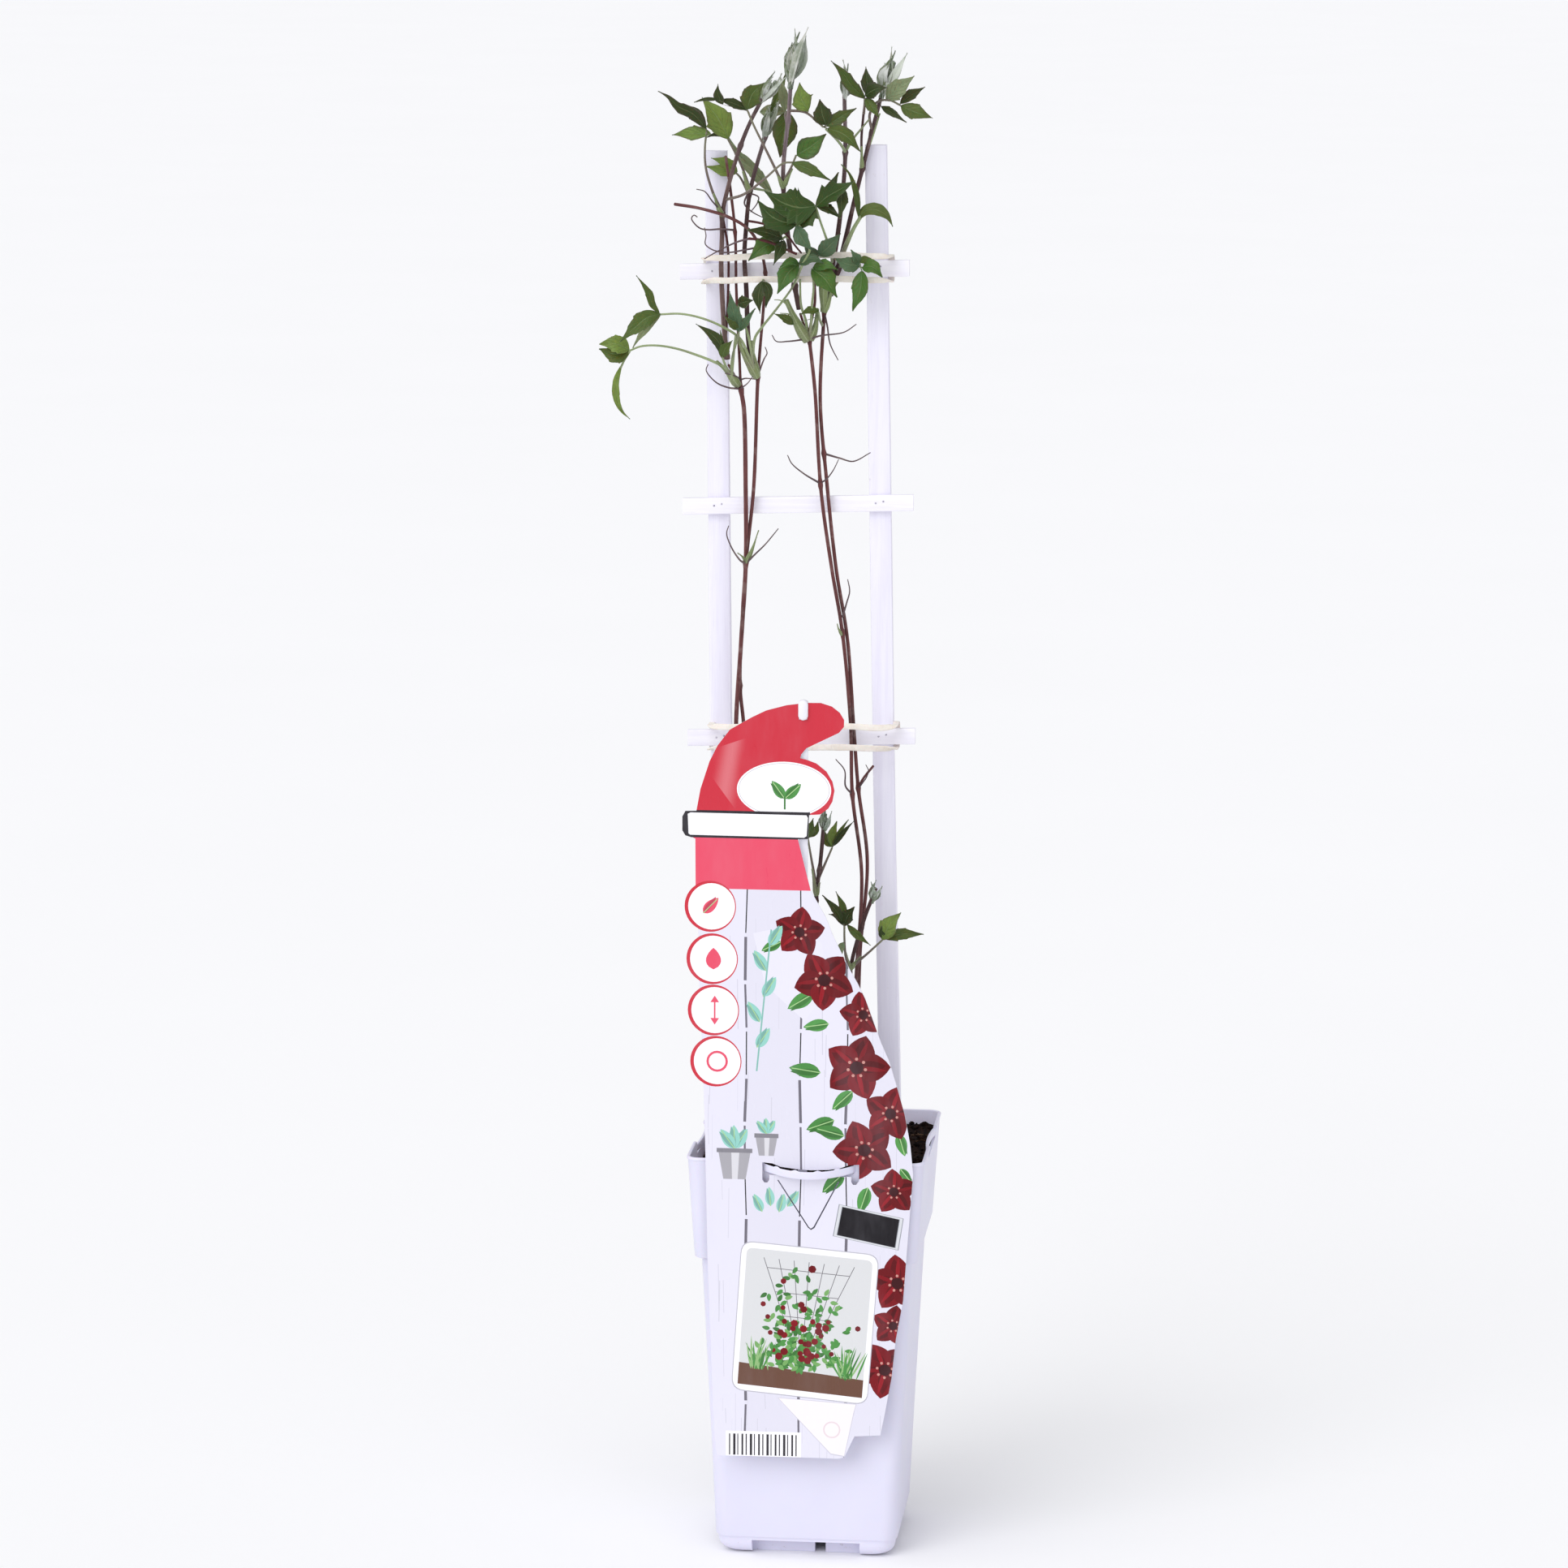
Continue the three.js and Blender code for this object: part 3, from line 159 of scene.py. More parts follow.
def skin(rows, count):
    """Quads between rows of count points each, where every row is closed on itself."""
    faces = []
    for i in range(rows - 1):
        for k in range(count):
            n = (k + 1) % count
            faces.append((i * count + k, i * count + n, (i + 1) * count + n, (i + 1) * count + k))
    return faces


def smooth_path(points, step):
    """Points about step apart on a centripetal Catmull-Rom curve through the given ones."""
    if len(points) == 2:
        spans = max(1, math.ceil((points[1] - points[0]).length / step))
        return [points[0].lerp(points[1], i / spans) for i in range(spans + 1)]
    padded = [2 * points[0] - points[1], *points, 2 * points[-1] - points[-2]]
    out = []
    for i in range(len(points) - 1):
        p = padded[i:i + 4]
        gap = [max(1e-3, math.sqrt((p[k + 1] - p[k]).length)) for k in range(3)]
        slopes = []
        for k in (0, 1):
            slope = (p[k + 1] - p[k]) / gap[k] - (p[k + 2] - p[k]) / (gap[k] + gap[k + 1])
            slopes.append((slope + (p[k + 2] - p[k + 1]) / gap[k + 1]) * gap[1])
        spans = max(1, math.ceil((p[2] - p[1]).length / step))
        for k in range(spans):
            t = k / spans
            a = 2 * t ** 3 - 3 * t ** 2 + 1
            b = t ** 3 - 2 * t ** 2 + t
            c = -2 * t ** 3 + 3 * t ** 2
            d = t ** 3 - t ** 2
            out.append(a * p[1] + b * slopes[0] + c * p[2] + d * slopes[1])
    out.append(points[-1].copy())
    return out


def tangent_at(path, i):
    return (path[min(i + 1, len(path) - 1)] - path[max(i - 1, 0)]).normalized()


def frames_along(path):
    """Tangent and two cross directions at each point, turned as little as possible."""
    tangents = [tangent_at(path, i) for i in range(len(path))]
    start = Vector((0, -1, 0)) if abs(tangents[0].y) < 0.9 else Vector((1, 0, 0))
    across = (start - tangents[0] * start.dot(tangents[0])).normalized()
    out = []
    for tangent in tangents:
        across = (across - tangent * across.dot(tangent)).normalized()
        out.append((tangent, across, tangent.cross(across)))
    return out


def lengths_along(path):
    total = [0.0]
    for a, b in zip(path, path[1:]):
        total.append(total[-1] + (b - a).length)
    return total


def tube(shape, path, radius, sides=8, finish=0, tint=(1, 1, 1), ribs=0, rib_depth=0.0):
    """A closed tube along a path. radius(run, point) and tint(run) may vary with the way run."""
    run = lengths_along(path)
    rings = frames_along(path)
    verts, maps, tints = [], [], []
    for i, point in enumerate(path):
        size = radius(run[i], point) if callable(radius) else radius
        colour = tint(run[i]) if callable(tint) else tint
        for k in range(sides):
            turn = 2 * math.pi * k / sides
            swell = size * (1 + rib_depth * math.cos(ribs * turn)) if ribs else size
            verts.append(point + swell * (math.cos(turn) * rings[i][1] + math.sin(turn) * rings[i][2]))
            maps.append((run[i] / 10, k / sides))
            tints.append(colour)
    faces = skin(len(path), sides)
    last = len(verts)
    verts += [path[0] - rings[0][0] * 0.3 * size, path[-1] + rings[-1][0] * 0.6 * size]
    maps += [(0.0, 0.0), (run[-1] / 10, 0.0)]
    tints += [tints[0], tints[-1]]
    for k in range(sides):
        n = (k + 1) % sides
        faces += [(last, n, k), (last + 1, last - sides + k, last - sides + n)]
    shape.add(verts, faces, finish, maps, tints)


def loft(shape, rings, tint=(1, 1, 1)):
    """A skin over closed rings of equal count, with a flat cap at each end."""
    count = len(rings[0])
    verts = [v for ring in rings for v in ring]
    maps = [(k / count, i / len(rings)) for i in range(len(rings)) for k in range(count)]
    faces = skin(len(rings), count)
    faces.append(tuple(range(count - 1, -1, -1)))
    faces.append(tuple(range(len(verts) - count, len(verts))))
    shape.add(verts, faces, 0, maps, tint)


def rounded_square(half, radius, z, turns=6, sides=4):
    """Points of a square with round corners, anticlockwise, at height z."""
    inner = half - radius
    arcs = []
    for corner, (sx, sy) in enumerate(((1, 1), (-1, 1), (-1, -1), (1, -1))):
        angles = [math.pi / 2 * (corner + i / turns) for i in range(turns + 1)]
        arcs.append([Vector((inner * sx + radius * math.cos(a), inner * sy + radius * math.sin(a), z))
                     for a in angles])
    out = []
    for arc, after in zip(arcs, arcs[1:] + arcs[:1]):
        out += arc + [arc[-1].lerp(after[0], i / sides) for i in range(1, sides)]
    return out


def soft_box(count, wide, thick, power):
    """Points of a box with well rounded edges: half its width and thickness either way."""
    out = []
    for k in range(count):
        turn = 2 * math.pi * k / count
        c = math.cos(turn)
        s = math.sin(turn)
        out.append((wide * math.copysign(abs(c) ** power, c), thick * math.copysign(abs(s) ** power, s)))
    return out


# ---------------------------------------------------------------- materials
class Paint:
    """A node material laid in coats, each a colour over the last, with bumps that add up."""

    def __init__(self, name, rough, colour=None, specular=0.5):
        self.material = bpy.data.materials.new(name)
        self.material.use_nodes = True
        self.tree = self.material.node_tree
        self.shader = self.tree.nodes["Principled BSDF"]
        self.shader.inputs["Roughness"].default_value = rough
        self.shader.inputs["Specular IOR Level"].default_value = specular
        self.place = self.node("ShaderNodeTexCoord").outputs["Object"]
        self.colour = colour if colour else self.tint()
        self.normal = None

    def node(self, kind, **values):
        made = self.tree.nodes.new(kind)
        for key, value in values.items():
            setattr(made, key, value)
        return made

    def feed(self, socket, value):
        if isinstance(value, bpy.types.NodeSocket):
            self.tree.links.new(value, socket)
        else:
            socket.default_value = (*linear(value), 1.0) if isinstance(value, str) else value

    def made(self, kind, inputs, output=0, **values):
        """An output of a new node, with some of its inputs fed or set."""
        made = self.node(kind, **values)
        for key, value in inputs.items():
            self.feed(made.inputs[key], value)
        return made.outputs[output]

    def math(self, kind, a, b=0.0):
        return self.made("ShaderNodeMath", {0: a, 1: b}, operation=kind)

    def times(self, a, b):
        return self.math("MULTIPLY", a, b)

    def span(self, value, low, high, to_low=0.0, to_high=1.0):
        """The value spread smoothly from low..high to to_low..to_high."""
        inputs = dict(enumerate((value, low, high, to_low, to_high)))
        return self.made("ShaderNodeMapRange", inputs, interpolation_type="SMOOTHSTEP")

    def noise(self, per_metre, detail=3.0, rough=0.55, stretch=None, twist=0.0, source=None):
        place = source if source else self.place
        if stretch:
            place = self.made("ShaderNodeMapping", {"Vector": place, "Scale": stretch})
        inputs = {"Vector": place, "Scale": per_metre, "Detail": detail, "Roughness": rough}
        inputs["Distortion"] = twist
        return self.made("ShaderNodeTexNoise", inputs, "Fac")

    def blend(self, amount, a, b):
        return self.made("ShaderNodeMix", {"Factor": amount, 6: a, 7: b}, 2, data_type="RGBA")

    def coat(self, amount, colour):
        """Lays a colour over the last one by the given share."""
        self.colour = self.blend(amount, self.colour, colour)

    def relief(self, height, distance, strength):
        """Adds a bump to those laid before."""
        inputs = {"Strength": strength, "Distance": distance, "Height": height}
        if self.normal:
            inputs["Normal"] = self.normal
        self.normal = self.made("ShaderNodeBump", inputs)

    def tint(self):
        return self.made("ShaderNodeAttribute", {}, "Color", attribute_name="tint")

    def parts(self, vector):
        split = self.node("ShaderNodeSeparateXYZ")
        self.feed(split.inputs[0], vector)
        return list(split.outputs)

    def map(self):
        """Along and across values of the mesh's own map."""
        return self.parts(self.made("ShaderNodeUVMap", {}, uv_map="map"))[:2]

    def ridges(self, across, count):
        return self.math("COSINE", self.times(across, 2 * math.pi * count))

    def done(self, rough, low=None, high=None, **sockets):
        """The material. Its roughness runs from low to high with the value of rough, if they are given."""
        if low is not None:
            rough = self.span(rough, 0.3, 0.7, low, high)
        self.feed(self.shader.inputs["Base Color"], self.colour)
        self.feed(self.shader.inputs["Roughness"], rough)
        if self.normal:
            self.feed(self.shader.inputs["Normal"], self.normal)
        for key, value in sockets.items():
            self.shader.inputs[key.replace("_", " ")].default_value = value
        return self.material


def pot_plastic():
    """Moulded white polypropylene: faint flow mottling, fine matt texture, dusty low edge."""
    p = Paint("pot_plastic", 0.42, "dcdaee")
    cloud = p.noise(28, 3, 0.5)
    p.coat(cloud, "e5e3f5")
    height = p.parts(p.place)[2]
    low = p.span(height, 0.002, 0.010, 1, 0)
    high = p.span(height, 0.190, 0.207, 0, 0.35)
    dust = p.span(p.noise(420, 4, 0.7), 0.62, 0.74)
    p.coat(p.times(p.times(dust, p.math("MAXIMUM", low, high)), 0.55), "8d7a6a")
    p.relief(p.noise(2600, 2, 0.5), 0.00003, 0.5)
    p.relief(cloud, 0.0006, 0.35)
    scuff = p.span(p.noise(90, 5, 0.7, (1, 1, 0.12)), 0.60, 0.72)
    rough = p.math("ADD", p.span(cloud, 0.3, 0.7, 0.36, 0.48), p.times(scuff, 0.10))
    return p.done(rough, Subsurface_Weight=0.06, Subsurface_Scale=0.004)


def painted_wood(name, light, dark, across):
    """Thin planed strips under a thin coat of white paint, with the grain along or across."""
    p = Paint(name, 0.5, light)
    grain = p.noise(260, 4, 0.62, (0.05, 1, 1) if across else (1, 1, 0.05), 0.6)
    fibre = p.noise(1500, 2, 0.6, (0.03, 1, 1) if across else (1, 1, 0.03))
    p.coat(p.span(grain, 0.35, 0.7), dark)
    p.coat(p.span(fibre, 0.62, 0.8, 0, 0.35), "d6d2e2")
    if not across:
        p.coat(p.times(p.span(p.noise(150, 3, 0.6), 0.68, 0.78), 0.35), "c3b9b4")
    p.relief(grain, 0.00035, 0.5)
    p.relief(fibre, 0.00008, 0.5)
    return p.done(grain, 0.42, 0.62)


def staple_wire():
    p = Paint("staple_wire", 0.35, "9c98a6")
    patch = p.noise(900)
    p.coat(p.span(patch, 0.4, 0.6), "c9c6d2")
    return p.done(patch, 0.3, 0.5, Metallic=0.8)


def bark():
    """Woody clematis stem: fine lengthwise ridges, red-brown streaks and grey bloom."""
    p = Paint("bark", 0.6)
    along, across = p.map()
    place = p.made("ShaderNodeCombineXYZ", {0: p.times(along, 0.35), 1: p.times(across, 6)})
    streak = p.noise(2.4, 4, 0.65, source=place)
    p.coat(p.span(streak, 0.35, 0.7, 0, 0.75), "3a1517")
    p.coat(p.span(p.noise(120, 3, 0.6), 0.52, 0.72, 0, 0.35), "a08a84")
    p.relief(p.ridges(across, 6), 0.00010, 0.6)
    p.relief(streak, 0.00025, 0.7)
    return p.done(streak, 0.48, 0.72)


def green_stalk():
    """Soft young stalks: pale green with a purple flush, lined lengthwise and finely downy."""
    p = Paint("green_stalk", 0.55)
    line = p.ridges(p.map()[1], 5)
    flush = p.noise(90, 3, 0.6)
    down = p.noise(3800, 2, 0.5)
    p.coat(p.span(flush, 0.45, 0.75, 0, 0.5), "6e5554")
    p.coat(p.span(line, 0.4, 1, 0, 0.3), "c6d0b4")
    p.coat(p.span(down, 0.58, 0.72, 0, 0.4), "d6dccb")
    p.relief(line, 0.00008, 0.6)
    p.relief(down, 0.00010, 0.6)
    return p.done(flush, 0.5, 0.65, Sheen_Weight=0.25)


def leaf_face(name, under):
    """Leaf blade from its map: along the midrib is 0..1, across is -1..1 from edge to edge."""
    p = Paint(name, 0.5 if under else 0.42, None, 0.25)
    along, across = p.map()
    side = p.math("ABSOLUTE", across)
    mottle = p.noise(170, 4, 0.6)
    fine = p.noise(2200, 3, 0.6)
    rise = p.math("SUBTRACT", p.times(along, 5.5), p.times(side, 2.2))
    wave = p.math("PINGPONG", p.math("ADD", rise, p.times(mottle, 0.5)), 0.5)
    vein = p.times(p.span(wave, 0, 0.09, 1, 0), p.span(side, 0.80, 1, 1, 0))
    rib = p.span(side, 0.02, 0.07, 1, 0)
    if under:
        p.coat(0.45, "8b977c")
    p.coat(p.span(mottle, 0.35, 0.7, 0, 0.38), p.blend(0.5, p.colour, "26331a"))
    p.coat(p.times(p.span(p.noise(900, 2, 0.5), 0.47, 0.53), 0.10), "2c3b1e")
    p.coat(p.times(vein, 0.22 if under else 0.15), "93a36e")
    p.coat(p.times(rib, 0.24), "9cab7c")
    height = p.math("SUBTRACT", p.times(fine, 0.25), p.math("MAXIMUM", vein, rib))
    p.relief(mottle, 0.0005, 0.4)
    p.relief(p.times(height, -1) if under else height, 0.00022, 0.8)
    low, high = (0.44, 0.62) if under else (0.34, 0.52)
    return p.done(fine, low, high, Sheen_Weight=0.02, Subsurface_Weight=0.08, Subsurface_Scale=0.002)


def silky_down():
    """Unopened tips: grey-green under silky silver hairs that lie lengthwise."""
    p = Paint("silky_down", 0.6)
    hair = p.noise(1500, 3, 0.6, (1, 1, 0.16))
    p.coat(p.span(hair, 0.44, 0.66, 0, 0.8), "c6cac6")
    p.coat(p.span(p.noise(160, 3, 0.6), 0.45, 0.7, 0, 0.6), "6b7c5c")
    p.relief(hair, 0.00022, 0.8)
    return p.done(hair, 0.5, 0.75, Sheen_Weight=0.6, Sheen_Roughness=0.4)


def rubber():
    """Cream natural rubber band: chalky bloom, fine cross creases."""
    p = Paint("band_rubber", 0.6, "e6ddd2")
    bloom = p.noise(190, 4, 0.65)
    crease = p.noise(1300, 2, 0.6, (1, 1, 0.25))
    p.coat(p.span(bloom, 0.35, 0.7), "f2ece4")
    p.coat(p.span(crease, 0.6, 0.75, 0, 0.3), "c6b7a8")
    p.relief(crease, 0.00012, 0.6)
    return p.done(bloom, 0.52, 0.72, Subsurface_Weight=0.08, Subsurface_Scale=0.002)


def potting_soil():
    """Peat with bark crumbs: a near-black ground, partly the peat's own colour and partly painted shade,
    with red-brown crumbs and a few pale fibres.
    """
    p = Paint("potting_soil", 0.9, "0d0706", 0.1)
    grit = p.made("ShaderNodeTexVoronoi", {"Vector": p.place, "Scale": 520}, "Distance")
    fleck = p.noise(700, 5, 0.7)
    p.coat(p.span(fleck, 0.35, 0.65), p.tint())
    p.coat(p.span(grit, 0, 0.30, 0.22, 0), "6a4632")
    p.relief(grit, 0.0010, 0.8)
    p.relief(fleck, 0.0012, 0.9)
    return p.done(fleck, 0.8, 0.98)


def card_face():
    """Varnished printed card: the tint holds the print, with a faint paper tooth and soft glare."""
    p = Paint("card_print", 0.3, None, 0.2)
    wash = p.noise(60, 4, 0.6, (1, 1, 0.3))
    p.coat(p.span(wash, 0.4, 0.75, 0, 0.05), "d8d6e2")
    p.relief(wash, 0.0008, 0.25)
    p.relief(p.noise(2400, 3, 0.6), 0.00002, 0.4)
    return p.done(wash, 0.24, 0.38, Coat_Weight=0.08, Coat_Roughness=0.3)


def card_back():
    p = Paint("card_back", 0.6, "ecebf1")
    fibre = p.noise(900, 4, 0.7)
    p.coat(p.span(fibre, 0.35, 0.7), "dedde6")
    p.relief(fibre, 0.00006, 0.5)
    return p.done(fibre, 0.5, 0.68)


def stake_plastic():
    p = Paint("stake_plastic", 0.45, "f2f1f6")
    cloud = p.noise(120, 3, 0.5, (1, 1, 0.2))
    p.coat(cloud, "e4e2ee")
    p.relief(p.noise(2600), 0.00003, 0.5)
    p.relief(cloud, 0.0003, 0.4)
    return p.done(cloud, 0.38, 0.5)


BARK = bark()
STALK = green_stalk()
LEAF_TOP = leaf_face("leaf_upper_face", False)
LEAF_UNDER = leaf_face("leaf_under_face", True)
DOWN = silky_down()
POT_WHITE = pot_plastic()
WOOD = painted_wood("painted_wood", "f0eefb", "e9e6f6", False)
# The rungs take a lighter copy of the uprights' white paint: painted light that offsets the shade falling
# on them.
RUNG_WOOD_PAINTED_LIGHTER = painted_wood("painted_wood_rungs_lightened_against_shade", "f6f4fd", "efecf9", True)
STAPLE = staple_wire()
RUBBER = rubber()
SOIL = potting_soil()
CARD_FACE = card_face()
CARD_BACK = card_back()
STAKE = stake_plastic()


# ---------------------------------------------------------------- pot
RIM_TOP = 210.0
POT_PROFILE = spots(  # height, half width, corner radius: under the floor, round the foot, up and inside
    "7.8 31.2 4.6, 7.6 31.6 4.9, 0.4 31.9 5, 0 32.3 5.2, 0 35.7 7.8, 0.25 37.9 8, 0.7 39.9 8,"
    "1.4 41.6 8, 2.6 43.1 8, 4.3 44.4 8, 6.6 45.1 8, 9.4 45.4 8, 9.7 45.5 8, 9.75 46.2 8,"
    "10.2 46.4 8, 60 48.55 8, 110 50.95 8.2, 155.6 53.2 8.5, 156.6 53.5 8, 157 54.2 7.2,"
    "157 55.6 6.6, 157.3 56.1 6.5, 158 56.3 6.4, 183 57.9 6.3, 208 59.45 6.2, 208.4 59.6 6.2,"
    "208.6 59.9 6.3, 209 60 6.4, 209.5 60 6.4, 209.85 59.8 6.2, 210 59.4 5.9, 210 58.8 5.5,"
    "209.8 58.4 5.2, 209.3 58.15 5, 183 56.5 5, 159 54.95 5.2, 158.6 54.6 5.4, 158.4 53.9 6,"
    "158.3 52.7 6.8, 157.9 52.2 7, 156 52 7, 110 49.5 7, 60 47.1 7, 12 44.8 7, 10.3 44.2 6.8,"
    "9.6 42.6 6.2"
)
DRAIN_HOLES = ((0, 0, 5), (22, 22, 4), (-22, 22, 4), (22, -22, 4), (-22, -22, 4))  # x, y, radius
STRAP_HALF = 24.0
STRAP_MIDDLE = 2.0
STRAP_TALL = 1.9  # half its height
STRAP_Y = -58.75
STRAP_TEETH = (-15.5, -6.0, 5.0, 14.5)
WINDOW_HALF = 22.5


def block(shape, x0, x1, y0, y1, z0, z1):
    corners = [(x0, y0), (x1, y0), (x1, y1), (x0, y1)]
    loft(shape, [[Vector((x, y, z)) for x, y in corners] for z in (z0, z1)])


def carve(target, blocks):
    """Cuts the gathered blocks out of the target's mesh."""
    cutter = placed("cutter", blocks.mesh("cutter"))
    cut = target.modifiers.new("cut", "BOOLEAN")
    cut.operation = "DIFFERENCE"
    cut.solver = "EXACT"
    cut.object = cutter
    graph = bpy.context.evaluated_depsgraph_get()
    carved = bpy.data.meshes.new_from_object(target.evaluated_get(graph))
    target.modifiers.clear()
    spent = [target.data, cutter.data]
    target.data = carved
    bpy.data.objects.remove(cutter)
    for mesh in spent:
        bpy.data.meshes.remove(mesh)


def strap(shape, quarter, bow, dip):
    """The strap over a rim window, with rounded edges. It bows out and dips in its middle."""
    outline = soft_box(16, 0.75, STRAP_TALL, 0.45)
    rings = []
    for i in range(49):
        t = i / 24 - 1
        slope = math.atan2(2 * bow * t, STRAP_HALF)
        x = STRAP_MIDDLE + STRAP_HALF * t
        y = STRAP_Y - bow * (1 - t * t)
        z = RIM_TOP - 1.4 - STRAP_TALL - dip * (1 - t * t)
        tooth = 0.0
        for place in STRAP_TEETH if bow > 0 else ():
            tooth = max(tooth, 1.0 - ((x - STRAP_MIDDLE - place) / 1.5) ** 2)
        ring = []
        for across, up in outline:
            lift = up + (0.7 * tooth if up > 0 else 0.0)
            ring.append(Vector((x + across * math.sin(slope), y + across * math.cos(slope), z + lift)))
        rings.append(ring[::-1])
    part = Shape()
    loft(part, rings)
    shape.add_turned(part, quarter)


def make_pot():
    shape = Shape()
    loft(shape, [rounded_square(half, radius, z) for z, half, radius in POT_PROFILE])
    pot = shape.build("pot_moulded", [POT_WHITE], ["pot"])
    sides = Shape()
    floor = Shape()
    for quarter in range(4):
        notch = Shape()
        block(notch, -27.5, 27.5, -50, -36.2, -1, 7.8)
        block(notch, STRAP_MIDDLE - WINDOW_HALF, STRAP_MIDDLE + WINDOW_HALF, -62, -56, 203.8, 212)
        sides.add_turned(notch, quarter)
        groove = Shape()
        block(groove, 4, 9.5, -50, -10, -1, 7.7)
        floor.add_turned(groove, quarter)
    turns = [2 * math.pi * k / 24 for k in range(24)]
    for x, y, radius in DRAIN_HOLES:
        round_hole = [(x + radius * math.cos(t), y + radius * math.sin(t)) for t in turns]
        loft(floor, [[Vector((*spot, z)) for spot in round_hole] for z in (5.0, 12.0)])
    carve(pot, sides)
    carve(pot, floor)
    for polygon in pot.data.polygons:
        polygon.use_smooth = True
    pot.data.set_sharp_from_angle(angle=math.radians(32))
    straps = Shape()
    strap(straps, 0, 9.0, 2.4)
    for quarter in (1, 2, 3):
        strap(straps, quarter, -1.6, 0.0)
    straps.build("pot_straps", [POT_WHITE], ["pot"])


# ---------------------------------------------------------------- soil
# Very dark browns: partly the peat's own colour and partly painted shade from the pot's walls and the card.
SOIL_BROWNS = [linear(c) for c in ("20120e", "2b1913", "150c0a", "3a2219", "25150f")]
FIBRE_BROWNS = ("4f3427", "6a4a36", "3f291f", "8a6d54")
SOIL_WALL = spots("10 42.4 6, 12 44.4 6.6, 110 49.1 6.8, 157 51.8 7, 160 54.5 5.2")  # as POT_PROFILE
SOIL_HALF = 57.1
SOIL_REACH = 55  # how far from the middle loose bits lie
SOIL_LAYERS = 44
ABOUT_ROUND = 6.28  # nearly a full turn, for directions drawn at random


def soil_height(x, y):
    place = Vector((x, y, 0.0))
    lumps = 2.2 * noise.noise(place * 0.045) + 1.3 * noise.noise(place * 0.16)
    crumbs = 0.6 * noise.noise(place * 0.55) + 0.35 * noise.noise(place * 1.3)
    edge = max(abs(x), abs(y)) / 57.0
    return 199.0 + 4.0 * ease(-35, 45, y) + 1.2 * ease(0, 50, x) + lumps + crumbs - 2.0 * edge ** 6


def crumb(shape, centre, size, colour):
    """A small angular lump of three rings of five corners."""
    verts = []
    turn = DICE.random() * ABOUT_ROUND
    for k, height in enumerate((-1.0, 0.0, 1.0)):
        for i in range(5):
            angle = turn + 2 * math.pi * (i + 0.4 * k) / 5
            width = size * (0.55, 1.0, 0.5)[k] * DICE.uniform(0.7, 1.2)
            lift = height * size * 0.5 * DICE.uniform(0.7, 1.1)
            verts.append(centre + Vector((width * math.cos(angle), width * math.sin(angle), lift)))
    shape.add(verts, [(4, 3, 2, 1, 0), (10, 11, 12, 13, 14)] + skin(3, 5), 0, None, colour)


def fibre(shape, x, y):
    """A thin crooked thread of peat that lies on the soil."""
    turn = DICE.random() * ABOUT_ROUND
    length = DICE.uniform(5, 15)
    path = []
    for _ in range(5):
        turn += DICE.uniform(-0.5, 0.5)
        path.append(Vector((x, y, soil_height(x, y) + DICE.uniform(0.1, 1.0))))
        x = max(-SOIL_REACH, min(SOIL_REACH, x + math.cos(turn) * length / 4))
        y = max(-SOIL_REACH, min(SOIL_REACH, y + math.sin(turn) * length / 4))
    colour = linear(DICE.choice(FIBRE_BROWNS))
    tube(shape, smooth_path(path, 1.5), DICE.uniform(0.15, 0.4), 5, 0, colour)


def make_soil():
    shape = Shape()
    rings = [rounded_square(half, radius, z, 6, 8) for z, half, radius in SOIL_WALL]
    outer = rounded_square(SOIL_HALF, 5, 0, 6, 8)
    tints = [SOIL_BROWNS[0]] * (len(outer) * len(rings))
    for i in range(SOIL_LAYERS):
        share = 1 - i / SOIL_LAYERS
        spread = [(point.x * share, point.y * share) for point in outer]
        rings.append([Vector((x, y, soil_height(x, y))) for x, y in spread])
        tints += [SOIL_BROWNS[DICE.randrange(5)] for _ in spread]
    loft(shape, rings, tints)
    for _ in range(520):
        x = DICE.uniform(-SOIL_REACH, SOIL_REACH)
        y = DICE.uniform(-SOIL_REACH, SOIL_REACH)
        size = DICE.uniform(0.5, 1.3) if DICE.random() < 0.75 else DICE.uniform(1.3, 2.4)
        centre = Vector((x, y, soil_height(x, y) + 0.2 * size))
        crumb(shape, centre, size, SOIL_BROWNS[DICE.randrange(5)])
    for _ in range(110):
        fibre(shape, DICE.uniform(-50, 50), DICE.uniform(-50, 50))
    shape.build("soil_peat", [SOIL], ["soil"], 180)


# ---------------------------------------------------------------- trellis
UPRIGHT_FRONT = 8.0
UPRIGHT_THICK = 6.0
UPRIGHT_WIDE = 10.8
UPRIGHT_FOOT = 112
UPRIGHTS = {  # drawn x and z of the head and of the middle, and x of the foot
    "trellis_upright_left": ((-52.5, 708), (-49.4, 428), -43.5),
    "trellis_upright_right": ((27, 711.8), (33.2, 396), 40.0),
}
RUNG_FRONT = 4.0
RUNG_THICK = 3.7
RUNGS = {  # x, top z and bottom z of the drawn left end and right end
    "trellis_rung_top": ((-70.2, 651.7, 643.9), (44.1, 655.2, 647)),
    "trellis_rung_middle": ((-68.8, 534.4, 526.2), (47.1, 538.1, 530)),
    "trellis_rung_bottom": ((-66, 416.8, 408.7), (48.9, 419.9, 411.9)),
}


def planed(half_a, half_b, worn):
    """Cross-section of a planed strip with slightly worn edges, anticlockwise."""
    out = []
    for sx, sy in ((1, 1), (-1, 1), (-1, -1), (1, -1)):
        run = [(sx * half_a, sy * (half_b - worn)),
               (sx * (half_a - 0.3 * worn), sy * (half_b - 0.3 * worn)),
               (sx * (half_a - worn), sy * half_b)]
        out += run if sx * sy > 0 else run[::-1]
    return out


def strip_rows(count):
    """Share of a strip's length at each of its rings, and how full the ring is: less at the ends."""
    for i in range(count + 3):
        yield min(1.0, max(0.0, (i - 1) / count)), 0.94 if i in (0, count + 2) else 1.0


